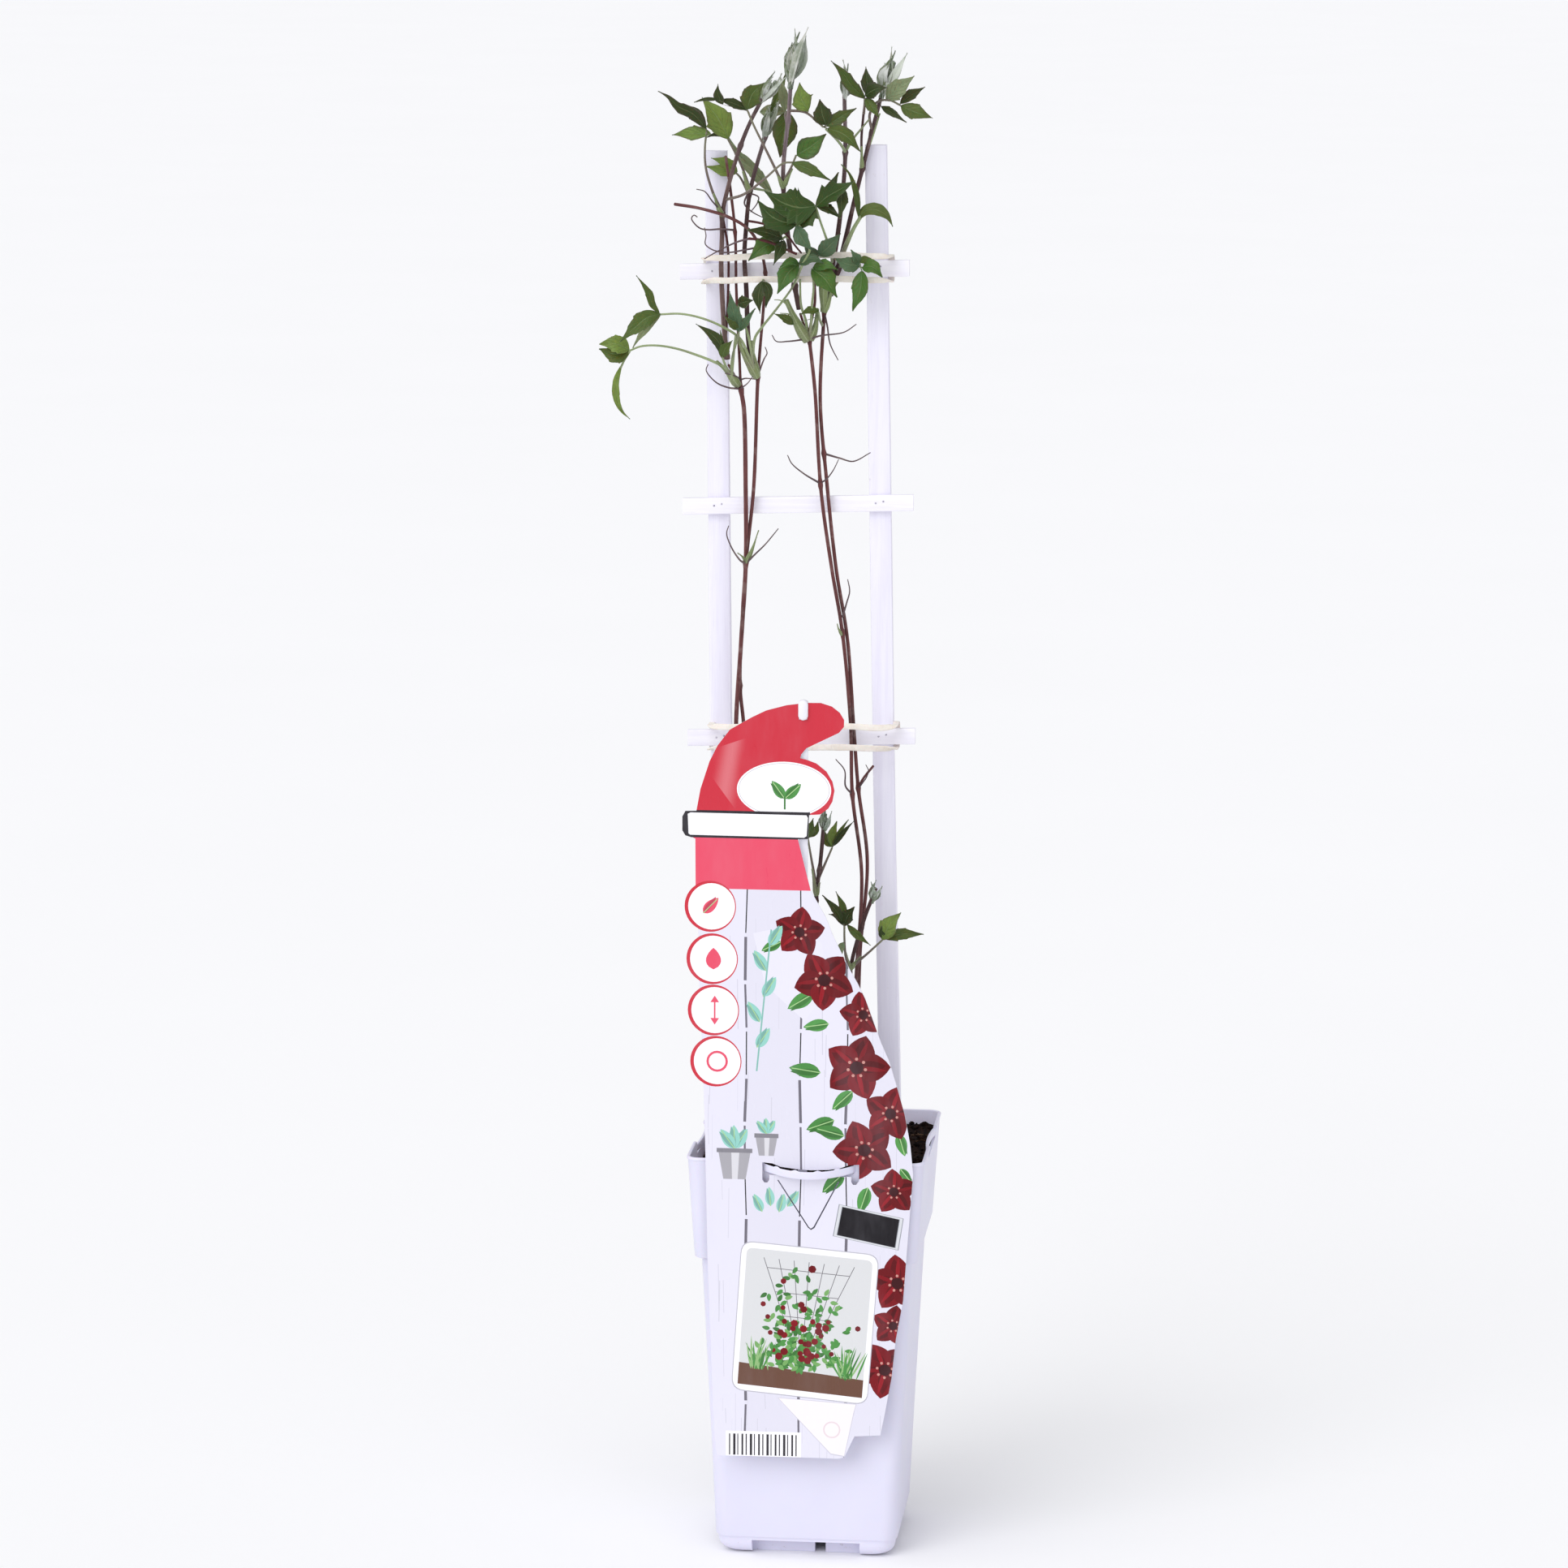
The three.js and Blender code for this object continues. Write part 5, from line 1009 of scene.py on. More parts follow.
# Route of each leaf's stalk, then the greatest width, colour, teeth a side and midrib of each blade.
LEAVES = table("""
leaf_far_left_upper | -31.2 597.5 0.6, -33 600 -4, -36 607 -7, -40 615 -8, -50 621.4 -12, -60 625.2 -14,
    -70 627 -16, -79.6 626.6 -18
  7.6 middle 3 | -80 626.8 -18, -86 625 -20, -91.5 620.6 -22, -96 616.8 -23, -100.4 612.6 -24
  3.8 greyed 0 | -80 626.2 -18, -85 622 -15, -90 616 -11, -94 609.2 -9
  3.4 middle 1 | -80.4 627.2 -18, -84 631.4 -19, -85.6 636.4 -20, -88.4 641 -21, -92 645.8 -22
leaf_far_left_lower | -39.6 591 -2.4, -43 594.6 -6, -47 600 -7, -53 603.2 -5, -62 606.6 0, -72 609.6 3,
    -82 611 4, -90 610.4 5, -95.4 608.2 5
  8.2 bright 2 | -95.6 608.6 5, -103 611.4 2, -110.8 611.4 2
  8.6 middle 2 | -95.6 607.8 5, -103 606.4 4, -110.8 608.9 3
  5.4 bright 1 | -97 608.8 5, -101 612.4 7, -104.7 615.4 9
  1.1 stalk 0 | -95.6 607.4 5, -98 603.6 6.5, -99.9 599.6 8
  3.7 bright 1 | -99.7 600.4 8, -101.8 592 9, -101.4 584 10, -99 577.6 12, -95.4 573.4 14
leaf_left_fold | -43 593 -4, -44.3 600 -8, -43.6 607 -9, -41.6 614 -9.6, -40.6 618 -10
  5.8 teal 2 | -40.6 618.6 -10, -43.2 628 -13, -45.4 638.4 -15
  3.4 middle 1 | -41.2 619.6 -10, -44.4 622.8 -14, -47.8 626.2 -17
  3.8 teal 1 | -40 619 -10, -36.6 623.8 -13, -32.6 630.2 -16
leaf_left_side | -45.2 597.6 -6.8, -47.4 601.6 -10, -49 606 -12
  4.8 deep 1 | -49 606.6 -12, -50.6 612.6 -14, -55 617.4 -16, -62 622 -18
  5.2 middle 1 | -49 605.4 -12, -47.6 609.6 -14, -44 614 -16
  1.8 middle 0 | -48.6 609 -13, -49.4 614 -14.6, -49.8 619 -15
leaf_left_mid | -33.6 601 -4.8, -34.6 610 -7, -37 620 -8, -40.4 628 -9, -40.8 632 -9
  5.6 deep 1 | -41 632.4 -9, -37.6 633.4 -11, -33.8 634.2 -13
leaf_mid_arch | -32.4 601.5 -1, -33.4 608 -5.6, -32.4 616 -8, -29 621 -9, -24 627.4 -9.6,
    -18.6 634.4 -10.4, -14 641 -11.4, -11.4 646.6 -12
  8.4 fresh 2 | -10.8 652.6 -12.4, -15.8 648.4 -15, -21.4 637.6 -17
  3.6 fresh 1 | -11 652.8 -12.4, -15.4 653.6 -17, -20.8 650.4 -21
  5.6 teal 1 | -10.6 652.6 -12.6, -4.6 655 -15, 1.6 653.4 -16.4
leaf_mid_hanging | -27.6 643 0.6, -27.8 644 -4, -28.6 644.4 -9
  5.4 deep 1 | -29 644 -9, -30.8 636.4 -11, -30.2 627.6 -12
  4.2 deep 1 | -28.6 643.6 -9.6, -25.6 638.8 -12, -27.4 630.6 -13
leaf_right_under | -5.4 615.4 -2.4, -4.6 622 -7, -4.2 632 -10.6, -3.4 641 -11.6, -4 649.6 -12
  9.8 fresh 1 | -4.4 650.4 -12, 2 645.4 -15, 8.3 636.2 -17
  5 fresh 1 | -3.6 650.6 -12, 2.6 652.4 -15, 8.6 650 -17
leaf_node_small | 1.3 622 0.5, -0.2 625 -4, -0.8 628.6 -9
  3.6 middle 1 | -0.8 629.4 -9, -5 629.6 -11, -10 627.6 -13
  3.8 middle 1 | -13.2 622.6 -9, -17.6 625.4 -13, -23 627.8 -17
leaf_centre_low | -12.8 642.5 -2.9, -9.6 651 -12.6, -5.4 660 -15.4, -7.4 667 -17, -11.4 672.4 -18
  10 lobed 3 | -11.6 672.6 -18, -20 673.6 -20, -26 677 -21, -31.4 683.8 -22
  7 teal 1 | -12.4 671.4 -18, -9 665 -19.6, -4.4 659.4 -21
leaf_centre_high | 6 653 -1.9, 4.6 660.6 -9.6, 3 665 -11, -0.6 675 -13, -2.4 681 -14
  13.6 lobed 3 | -2.6 681.4 -14, -11 680.4 -16.4, -19 682.6 -18, -28 688.9 -19
  8.8 lobed 2 | -2.4 681 -14, 3 685.6 -16, 9.4 689.4 -19, 16.6 694.4 -21
  4.6 deep 0 | 1.6 685.6 -15, 5.4 691 -14, 8.6 698.4 -12
  8.8 lobed 2 | -3.4 681.8 -14, -7.6 675.4 -16, -13 668.4 -18
  4.2 deep 1 | -1.4 681 -14.4, 4 679.8 -17, 9.8 675.6 -20
leaf_centre_tip | 10.2 682 -1.3, 10 687 -7, 9.4 690 -10
  5.8 deep 1 | 9.6 691.4 -10, 10.2 684 -18, 9.6 675.6 -27
leaf_centre_left | -16 665.5 -3.5, -17.6 666 -7, -19 665 -9
  6.6 deep 2 | -19 665 -9, -27 667.8 -15, -36.6 669.2 -19
  8 fresh 1 | -20 663.4 -9, -28.6 660.6 -12, -36 653.8 -14.6
  5.2 deep 1 | -18.4 664 -9, -20.4 659 -15, -23.4 652 -19
leaf_teal | 7.6 661.6 -2, 4.6 660 -7, 1 657.6 -11
  7.6 teal 1 | -0.6 657 -11, 4.2 661.6 -14, 9.8 667.8 -16
  4.2 teal 0 | 0.2 657 -11, -5 659 -9.4, -9 663.6 -8
leaf_hook | 11 658 1.9, 13 663 -4, 16.4 670.6 -8, 20 676.6 -10
  6 hook 0 | 18.8 675.4 -10, 22.4 679.2 -10.8, 28.2 679.6 -12, 33 676.8 -12, 35.8 671.6 -11
  2.8 middle 0 | 18.8 676 -10, 18 687 -11.6, 14.4 697 -13, 10 702 -14
leaf_right_cluster | 8.9 651.5 1.9, 12 652 -4, 16 652.4 -9, 20 651.4 -12
  8.4 fresh 1 | 20.6 649.6 -12, 20.2 640 -14, 15.9 629.6 -16
  6.8 teal 2 | 19.6 652 -12, 13.4 652.8 -15, 6.8 655.6 -17
  6.4 fresh 2 | 20.8 651.4 -12, 26 651.4 -15, 30.8 646.6 -17
  4.2 teal 1 | 19.4 652.6 -11.6, 17.4 656.6 -14, 15 660 -15
  3.4 middle 0 | 19.8 653.6 -12, 22.4 655.6 -13, 25 656 -14
leaf_top_dark | -49 677.6 -4.3, -54 688 -9, -57.4 700 -12, -57.8 710 -14, -57 717.4 -15
  5 deep 2 | -57 719 -15, -63.4 726 -18, -71 729.8 -20, -76 734.4 -21, -81.4 737.2 -21
  6.8 bright 1 | -55 716.4 -15, -64 716.2 -11, -74.4 716 -9
  3.6 deep 1 | -57.4 720 -15, -62 727 -13, -67.6 731 -11
leaf_top_long | -47.4 684 -4.8, -38 687 -15, -28 694.6 -21, -18.6 702.4 -24, -14.4 702.8 -24
  5.4 middle 2 | -14.4 702.8 -24, -6.4 699.6 -27, 4.8 694.2 -29
leaf_top_bright | -35.2 689 3.2, -39.6 701 0, -44 709.6 1, -46.4 714 1.4
  11 bright 1 | -46 714.4 1.4, -51.6 724.6 -1, -59.4 734.4 -3
  2.6 deep 0 | -46 715.4 1.4, -52 716.2 3, -57 714.8 4
leaf_top_low | -35.6 686 2.9, -38.4 692 4, -40.4 695.4 4.2, -42.4 697.4 4.6
  4.8 bright 2 | -41.6 698 4.6, -47.6 702.4 4.6, -54.8 704.6 4.6
  5.2 bright 1 | -42 697.2 4.6, -49 698.6 5, -57.4 700.4 5
leaf_top_grey | -34.8 690 3.4, -29 689 9, -25.4 688.4 11
  5.6 greyed 2 | -24.4 687.8 11, -33 698.4 14, -40.4 706 17, -46.6 715.4 19
leaf_top_tooth | -18.7 691 -6.1, -22 698 -10, -28 710 -13, -33.4 720.6 -15, -36.6 728 -15.4
  8.6 middle 3 | -36.8 728.6 -15.4, -34.4 736 -17, -28.4 742 -18
  4.4 deep 1 | -37 728.8 -15.4, -44 731.6 -18, -52 733.8 -20
  4.4 deep 0 | -49 731 -19, -51.2 736 -20, -51.6 741 -21
  1.8 deep 0 | -51.4 733.4 -20, -57.6 733.4 -21, -63.4 732 -21
leaf_top_small | -26.2 717.2 6.1, -26 721.6 10.4, -27 724.6 12
  6 greyed 1 | -30.4 727.4 12, -23 728 14, -15.6 727 15
  4.2 middle 1 | -25 727 12, -21.6 736 14, -17.4 747 16
leaf_top_centre | -18.7 693.4 -6.2, -15 700 -11, -12.4 706.4 -12
  9.8 fresh 0 | -12.2 706.4 -12, -5 710.8 -14, 2.4 717 -16
leaf_crown_left | -16.7 721.6 -8.7, -18 726 -4, -17.6 727.6 0
  11.4 middle 0 | -16.8 728 0, -18.6 716 0.4, -20.6 705.2 1
  4.6 greyed 0 | -17.8 728 0, -19 737 2, -20.4 745 3
leaf_crown_centre | -16 728.4 -9.3, -8 727.6 -13, -3 724 -14, 1 720.4 -14
  9.4 bright 1 | -6.4 728.4 -13.4, -10.2 734.4 -15, -10.6 742 -17
  8.4 deep 2 | 2.2 721.4 -14, 0.4 727 -16, -0.8 734 -18
  5.6 middle 2 | 2.6 720.8 -14, 10.4 726 -13, 17.4 730 -12
  6.6 middle 2 | 3 719.8 -14, 11.6 716.6 -17, 19.8 708.4 -19
leaf_crown_right | 21 727 0, 21.4 732 1, 21.4 734.6 1
  5.6 middle 2 | 21.4 735 1, 15.4 740.4 -2, 10.4 747.4 -3, 4.6 753 -4
  5.6 deep 1 | 24 735.4 1, 22.6 743 4, 21.8 750.4 6
  5 middle 1 | 22 734.6 1, 25 730.4 -2, 28.6 725.4 -5
  6.8 deep 2 | 21.4 736 1, 26.4 739 -2, 32.6 740.2 -4
leaf_arch_right | 25.2 718.6 6.8, 24 727 3, 27.6 733 2.6, 33.5 734 2.6, 39 731.6 2
  8 greyed 2 | 32 733.6 3, 37.6 739.4 2, 45.8 746 0
  4.8 deep 1 | 39 732.4 2, 44.6 736.6 4, 51.2 740.8 6
  7.6 middle 1 | 39.4 731 2, 47 727.8 0, 55 725.8 -2
  3.4 deep 2 | 29.6 731 3.4, 35.4 727.4 0, 42 723.4 -4
leaf_low_left | -0.9 341 -18, -3 352 -21, -4.8 362.4 -22
  4.6 middle 1 | -4.6 363 -22, -3.6 368 -24, -2.2 373 -25
  3.4 middle 0 | -4 363.4 -22, -1 366.8 -21, 0.3 371.4 -20
leaf_low_middle | 0.6 342 -18, 4 350 -14, 7.4 358 -11
  4 middle 0 | 7.4 358.6 -11, 4.8 362 -10, 3.6 366.8 -9
  4.6 bright 1 | 7.5 358.8 -11, 7.4 365 -10, 9.8 371.8 -9
  2.6 middle 0 | 8 359.6 -11, 11.4 365.8 -12, 15.4 372.8 -13
  2.8 deep 0 | 8 359 -11, 12.6 365 -13, 18.2 372.2 -14
leaf_low_right | 17.3 296.4 -14, 20.6 299.6 -17, 25 303.4 -18, 33 311 -20
  8.6 bright 1 | 33.4 311.6 -20, 36.8 318.8 -22, 42.3 325.6 -23
  5.2 middle 2 | 34.6 312 -20, 43.6 314.6 -18, 54.2 314.6 -17
  3 deep 0 | 33.4 312 -20, 32.8 315 -21, 32.6 318.4 -22
leaf_low_centre | 17.1 294 -14, 14.6 303 -20, 14 311 -21.6, 13.9 318 -22
  4 deep 1 | 13.2 319.4 -22, 9.4 325.8 -24, 2.8 333.6 -26
  3.4 middle 0 | 13.8 319.6 -22, 12.8 328 -20, 9.5 335.8 -18
  3.6 middle 1 | 15.4 318.6 -22, 20 313.8 -24, 27.2 308.4 -27
  6 deep 1 | 13.9 318.6 -22, 15.8 323.4 -23, 19 328 -24
  3 deep 0 | 13.6 318.4 -22, 10 323 -20, 5.8 324 -18
  3.4 greyed 0 | 14 309.6 -21.4, 12 306.4 -23, 12.8 301.6 -25
""")


# ---------------------------------------------------------------- plant parts
RED_BROWN = linear("713a39")
DARK_RED = linear("5f2326")
GREY_PURPLE = linear("7a686b")
MAROON = linear("4a2c2b")
PALE_GREEN = linear("899a66")
CROWN_STALK = linear("5e4540")

# Colour of a shoot below its crown and up in it.
STEM_COLOURS = {
    "shoot_left_outer": (linear("7c635e"), linear("5e4a4b")),
    "shoot_left_inner": (linear("4b3231"), GREY_PURPLE),
    "shoot_centre": (linear("5b4242"), linear("8d7d84")),
    "shoot_right_inner": (MAROON, GREY_PURPLE),
    "shoot_right_outer": (MAROON, linear("674f50")),
    "shoot_low_left": (MAROON, MAROON),
    "shoot_low_right": (MAROON, MAROON),
    "dry_stem_upper": (DARK_RED, DARK_RED),
}
# Finish and colour of what grows from a stem.
STALK_LOOKS = {
    "tendril": (0, linear("6d5a5e")),
    "dry": (0, DARK_RED),
    "sheath": (1, linear("77864f")),
    "stalk": (1, PALE_GREEN),
}
CROWN_LOW, CROWN_HIGH = 685, 715  # heights between which a shoot takes on its crown's colour
NODE_LENGTH = 1.6
HAIR_RISE = 0.6


def hair(shape, root, end, lean, beside, thick, finish, colour):
    """One tapering hair."""
    side = lean.cross(beside).normalized() * thick
    third = lean.cross(side)
    verts = [root + side, root - side * 0.5 + third, root - side * 0.5 - third, end]
    shape.add(verts, [(0, 1, 3), (1, 2, 3), (2, 0, 3)], finish, None, colour)


def hairs(shape, path, radius, count, length, finish, colour):
    """Fine hairs that stand off a tube of the given radius along the path."""
    rings = frames_along(path)
    for _ in range(count):
        i = DICE.randrange(len(path))
        tangent, across, out = rings[i]
        turn = DICE.random() * 2 * math.pi
        stand = math.cos(turn) * across + math.sin(turn) * out
        size = radius(i / (len(path) - 1)) if callable(radius) else radius
        root = path[i] + stand * size * 0.9
        lean = (stand + tangent * HAIR_RISE * DICE.uniform(0.3, 1.6)).normalized()
        end = root + lean * length * DICE.uniform(0.5, 1.2)
        hair(shape, root, end, lean, tangent, 0.055, finish, colour)


def stalk(shape, places, base, end, kind):
    """One tapering tendril, leaf sheath or side stalk, in the stem pieces' finishes."""
    path = smooth_path(places, 1.1)
    total = lengths_along(path)[-1]
    finish, colour = STALK_LOOKS[kind]
    sheath = kind == "sheath"

    def size(run, _):
        share = run / total
        if sheath:
            return end + (base - end) * (1 - ease(0.0, 0.85, share)) * (0.75 + 0.5 * ease(0, 0.2, share))
        return base + (end - base) * share ** 0.8

    tube(shape, path, size, 10 if sheath else 7, finish, colour * DICE.uniform(0.88, 1.1))
    if sheath:
        hairs(shape, path, lambda share: size(share * total, None), 20, 0.8, 2, linear("b9c2ab"))


def make_stem(name, rows):
    (radius, *upper), heights = rows[0]
    radius = float(radius)
    swellings = [float(z) for z in heights.split()]
    young = name.startswith("shoot")
    low = name.startswith("shoot_low")
    below, above = STEM_COLOURS.get(name, (RED_BROWN, RED_BROWN))
    places = drawn(rows[1][1])
    if young:
        places.append(places[-1] + (places[-1] - places[-2]).normalized() * 5)
    path = smooth_path(places, 2.0)
    reach = lengths_along(path)[-1]
    seed = float(len(name))

    def size(run, point):
        thick = radius
        if upper:
            turning = places[int(upper[1])].z
            thick += (float(upper[0]) - thick) * ease(turning - 3, turning + 6, point.z)
        if young and not low:
            thick *= 1.12 - 0.22 * ease(0, 1, run / reach)
        grown = 1 + sum(0.55 * math.exp(-((point.z - z) / NODE_LENGTH) ** 2) for z in swellings)
        return thick * grown * (1 + 0.05 * noise.noise(Vector((run * 0.12, seed, 0))))

    def tone(run):
        wander = noise.noise(Vector((run * 0.035, seed * 3, 5)))
        height = places[0].z + run * (places[-1].z - places[0].z) / reach
        colour = below.lerp(above, ease(CROWN_LOW, CROWN_HIGH, height))
        return colour.lerp(linear("3c1b1d"), ease(0.0, 0.6, wander) * 0.6)

    shape = Shape()
    tube(shape, path, size, 16, 0, tone, 6, 0.07)
    if young:
        hairs(shape, path, radius, int(reach * 2.2), 0.6, 2, linear("b9b2b4"))
    for (kind, *sizes), points in rows[2:]:
        if kind in ("stump", "companion"):
            colour = below if kind == "stump" else DARK_RED
            tube(shape, smooth_path(drawn(points), 1.4), 0.62, 10, 0, colour, 5, 0.06)
        else:
            stalk(shape, drawn(points), *map(float, sizes), kind)
    if name in TIPS:
        tip(shape, *TIPS[name], finish=2)
    shape.build(name + "_grown", [BARK, STALK, DOWN], [name], 80)


# ---------------------------------------------------------------- leaf blades
BLADE_THICK = 0.26
BLADE_COLUMNS = (-1, -0.88, -0.66, -0.4, -0.16, 0, 0.16, 0.4, 0.66, 0.88, 1)  # edge to edge
BLADE_ROWS = 26
BLADE_EDGE = linear("4b3a3c")
TOOTH_RISE = 0.17
TOOTH_FALL = 0.03


def outline_at(u, teeth):
    """Half width of a blade at share u of its length, as a share of its greatest half width."""
    plain = math.sin(math.pi * min(1.0, u) ** 0.74) ** 0.95 * (1 - 0.34 * ease(0.5, 0.95, u))
    grown = 1.0 + (0.055 * (6.5 * u % 1.0) if 0.15 < u < 0.9 else 0.0)
    for place, height in teeth:
        start = place - TOOTH_RISE
        if start < u <= place:
            grown += height * ((u - start) / TOOTH_RISE) ** 1.5
        elif place < u < place + TOOTH_FALL:
            grown += height * (1 - (u - place) / TOOTH_FALL)
    return max(0.012, plain * grown)


def deal_teeth(count, lobed):
    """Place and height of each tooth on the left side and on the right one."""
    sides = []
    for _ in range(2):
        row = []
        for k in range(count):
            place = (0.50 if count == 1 else 0.34) + 0.48 * k / count + DICE.uniform(-0.06, 0.06)
            row.append((place, DICE.uniform(0.08, 0.22) + lobed))
        sides.append(row)
    return sides


def blade_rows(teeth):
    """Shares of the length at which a blade has rows of vertices."""
    rows = {i / BLADE_ROWS for i in range(1, BLADE_ROWS)} | {0.006, 0.02, 0.985}
    for place, _ in teeth[0] + teeth[1]:
        rows |= {place, place + TOOTH_FALL / 2, place + TOOTH_FALL}
    return [0.0] + sorted(r for r in rows if 0 < r < 1) + [1.0]


def lift_at(u, v, size, half, fold, phase):
    """How far a blade's face stands off its midrib: folded, curled, waved and puckered."""
    lift = math.sin(fold) * (abs(v) * size) - 0.16 * v * v * size
    lift += 0.12 * half * math.sin(phase + 9 * u + (1.4 if v < 0 else 0)) * v * v
    ripple = 0.5 - 0.5 * math.cos(2 * math.pi * (5.5 * u - 2.2 * abs(v)))
    return lift + 0.14 * ripple * min(1.0, 4 * abs(v)) * (1 - abs(v)) * min(1.0, half / 3)


def normals_of(top, facing):
    """Normals at the vertices of a blade's face, all to the side that the blade faces."""
    wide = len(BLADE_COLUMNS)
    rows = len(top) // wide
    normals = []
    for i in range(rows):
        for k in range(wide):
            a = top[min(i + 1, rows - 1) * wide + k] - top[max(i - 1, 0) * wide + k]
            b = top[i * wide + min(k + 1, wide - 1)] - top[i * wide + max(k - 1, 0)]
            cross = a.cross(b)
            normals.append(cross.normalized() if cross.length > 1e-9 else facing.normalized())
    return [-n for n in normals] if sum(n.dot(facing) for n in normals) < 0 else normals


def leaflet(shape, places, width, look, finishes=(0, 1)):
    """A blade along its midrib, of real thickness. Gives its keel, the keel's size and its shade."""
    tone, purple, fold, teeth_count, lobed = look
    line = smooth_path(places, 0.4)
    runs = lengths_along(line)
    length = runs[-1]
    facing = Vector((DICE.uniform(-0.45, 0.45), -1.0, DICE.uniform(0.1, 0.6)))
    teeth = deal_teeth(teeth_count, lobed)
    phase = DICE.random() * ABOUT_ROUND
    level = DICE.uniform(0.88, 1.12)
    shade = Vector((tone.x * DICE.uniform(0.95, 1.05), tone.y, tone.z * DICE.uniform(0.93, 1.07))) * level
    half = width / 2 / math.cos(fold) * 1.06
    droop = DICE.uniform(0.02, 0.08) * length
    rows = blade_rows(teeth)
    wide = len(BLADE_COLUMNS)
    top, maps, tints = [], [], []
    for u in rows:
        reach = u * length
        k = min(len(line) - 2, max(i for i, run in enumerate(runs) if run <= reach + 1e-6))
        centre = line[k].lerp(line[k + 1], min(1.0, (reach - runs[k]) / (runs[k + 1] - runs[k])))
        along = (line[min(len(line) - 1, k + 3)] - line[max(0, k - 2)]).normalized()
        face = (facing - along * facing.dot(along)).normalized()
        across = face.cross(along)
        centre += face * droop * (math.sin(math.pi * u * 0.8) - 1.2 * u * u)
        for v in BLADE_COLUMNS:
            size = half * outline_at(u, teeth[0 if v < 0 else 1])
            lift = lift_at(u, v, size, half, fold, phase)
            pull = 0.14 * size * abs(v) * (0.5 - u)
            top.append(centre + across * v * math.cos(fold) * size + face * lift + along * pull)
            maps.append((u, v))
            rim = ease(0.74, 1.0, abs(v)) * 0.8 + ease(0.7, 1.0, u) * 0.45
            tints.append(shade.lerp(BLADE_EDGE, min(1.0, purple * rim)))
    under = [p - n * BLADE_THICK for p, n in zip(top, normals_of(top, facing))]
    corners = [i * wide + k for i in range(len(rows) - 1) for k in range(wide - 1)]
    faces = [(a, a + 1, a + wide + 1, a + wide) for a in corners]
    flip = (top[1] - top[0]).cross(top[wide] - top[0]).dot(facing.normalized()) < 0
    if flip:
        faces = [f[::-1] for f in faces]
    shape.add(top, faces, finishes[0], maps, tints)
    shape.add(under, [f[::-1] for f in faces], finishes[1], maps, tints)
    last = (len(rows) - 1) * wide
    border = [*range(wide), *range(2 * wide - 1, last + wide, wide)]
    border += [*range(last + wide - 2, last - 1, -1), *range(last - wide, 0, -wide)]
    count = len(border)
    walls = [(k, (k + 1) % count, count + (k + 1) % count, count + k) for k in range(count)]
    if not flip:
        walls = [wall[::-1] for wall in walls]
    ring = [top[i] for i in border] + [under[i] for i in border]
    shape.add(ring, walls, finishes[1], [maps[i] for i in border] * 2, [tints[i] for i in border] * 2)
    keel = [under[i * wide + wide // 2] for i in range(0, len(rows) - 2, 2)]
    return keel, 0.26 if width > 5 else 0.18, shade


# ---------------------------------------------------------------- downy tips
# The darkest tones here are partly the tips' own green and partly painted shade, standing for the dark gaps
# between the blades.
DOWNY_TONES = [linear(c) for c in ("9ba08f", "51603a", "c2c5bc", "414d2b", "6b7852")]
BUD_TONES = [linear(c) for c in ("74826a", "56663f", "87947c", "4a5833", "6b7852")]
BUD_TOP = 500  # the low shoots end below this height


def tip(shape, base, tops, wide, finish=0):
    """A bunch of narrow folded leaves round a core, all clad in silky hairs."""
    foot = at(base)
    heads = [at(top) for top in tops]
    middle = sum(heads, Vector()) / 3
    low = foot.z < BUD_TOP
    tones = BUD_TONES if low else DOWNY_TONES
    core = [foot, foot.lerp(middle, 0.4), foot.lerp(middle, 0.75)]
    tube(shape, smooth_path(core, 1.0), lambda run, _: wide * 0.2, 10, finish, linear("4d5a3f"))
    for i in range(10):
        inner = i // 3
        head = heads[i % 3].lerp(middle, 0.12 * inner)
        root = foot.lerp(middle, 0.03 + 0.10 * inner)
        head = root.lerp(head, (1.0, 0.84, 0.7, 0.55)[inner])
        turn = 2.4 * i + DICE.uniform(-0.5, 0.5)
        bulge = Vector((math.cos(turn) * 0.40, math.sin(turn) * 0.34, 0)) * wide * (0.8 if low else 1.0)
        route = [root, root.lerp(head, 0.45) + bulge, head + bulge * (0.1 + 0.25 * inner)]
        before = len(shape.verts)
        look = (tones[i % 5], 0.25, DICE.uniform(0.5, 0.9), 0, 0.0)
        leaflet(shape, route, wide * DICE.uniform(0.42, 0.6), look, (finish, finish))
        grown = shape.verts[before:]
        for _ in range(24 if low else 70):
            spot = grown[DICE.randrange(len(grown))]
            lean = Vector((DICE.uniform(-1, 1), DICE.uniform(-1, 0.6), DICE.uniform(0.4, 1.6))).normalized()
            end = spot + lean * DICE.uniform(0.5, 1.3)
            hair(shape, spot, end, lean, Vector((0, 1, 0)), 0.05, finish, linear("d3d7cf"))


def make_tip(name):
    shape = Shape()
    tip(shape, *TIPS[name])
    shape.build(name + "_downy", [DOWN], [name], 80)


# ---------------------------------------------------------------- leaves
# The deep tone is partly the leaves' own darker green and partly painted shade: blades that hang or fold
# into shadow were given it.
LEAF_TONES = {
    "bright": linear("718c3e"),
    "fresh": linear("42692a"),
    "middle": linear("4a6024"),
    "deep": linear("2f3f15"),
    "lobed": linear("304a1a"),
    "teal": linear("4b684a"),
    "greyed": linear("82916b"),
    "pale": linear("7a9556"),
    "hook": linear("5c7036"),
}
CROWN_LEAVES = 690  # stalks that end above this height, or below the next one, are dark
LOW_LEAVES = 400


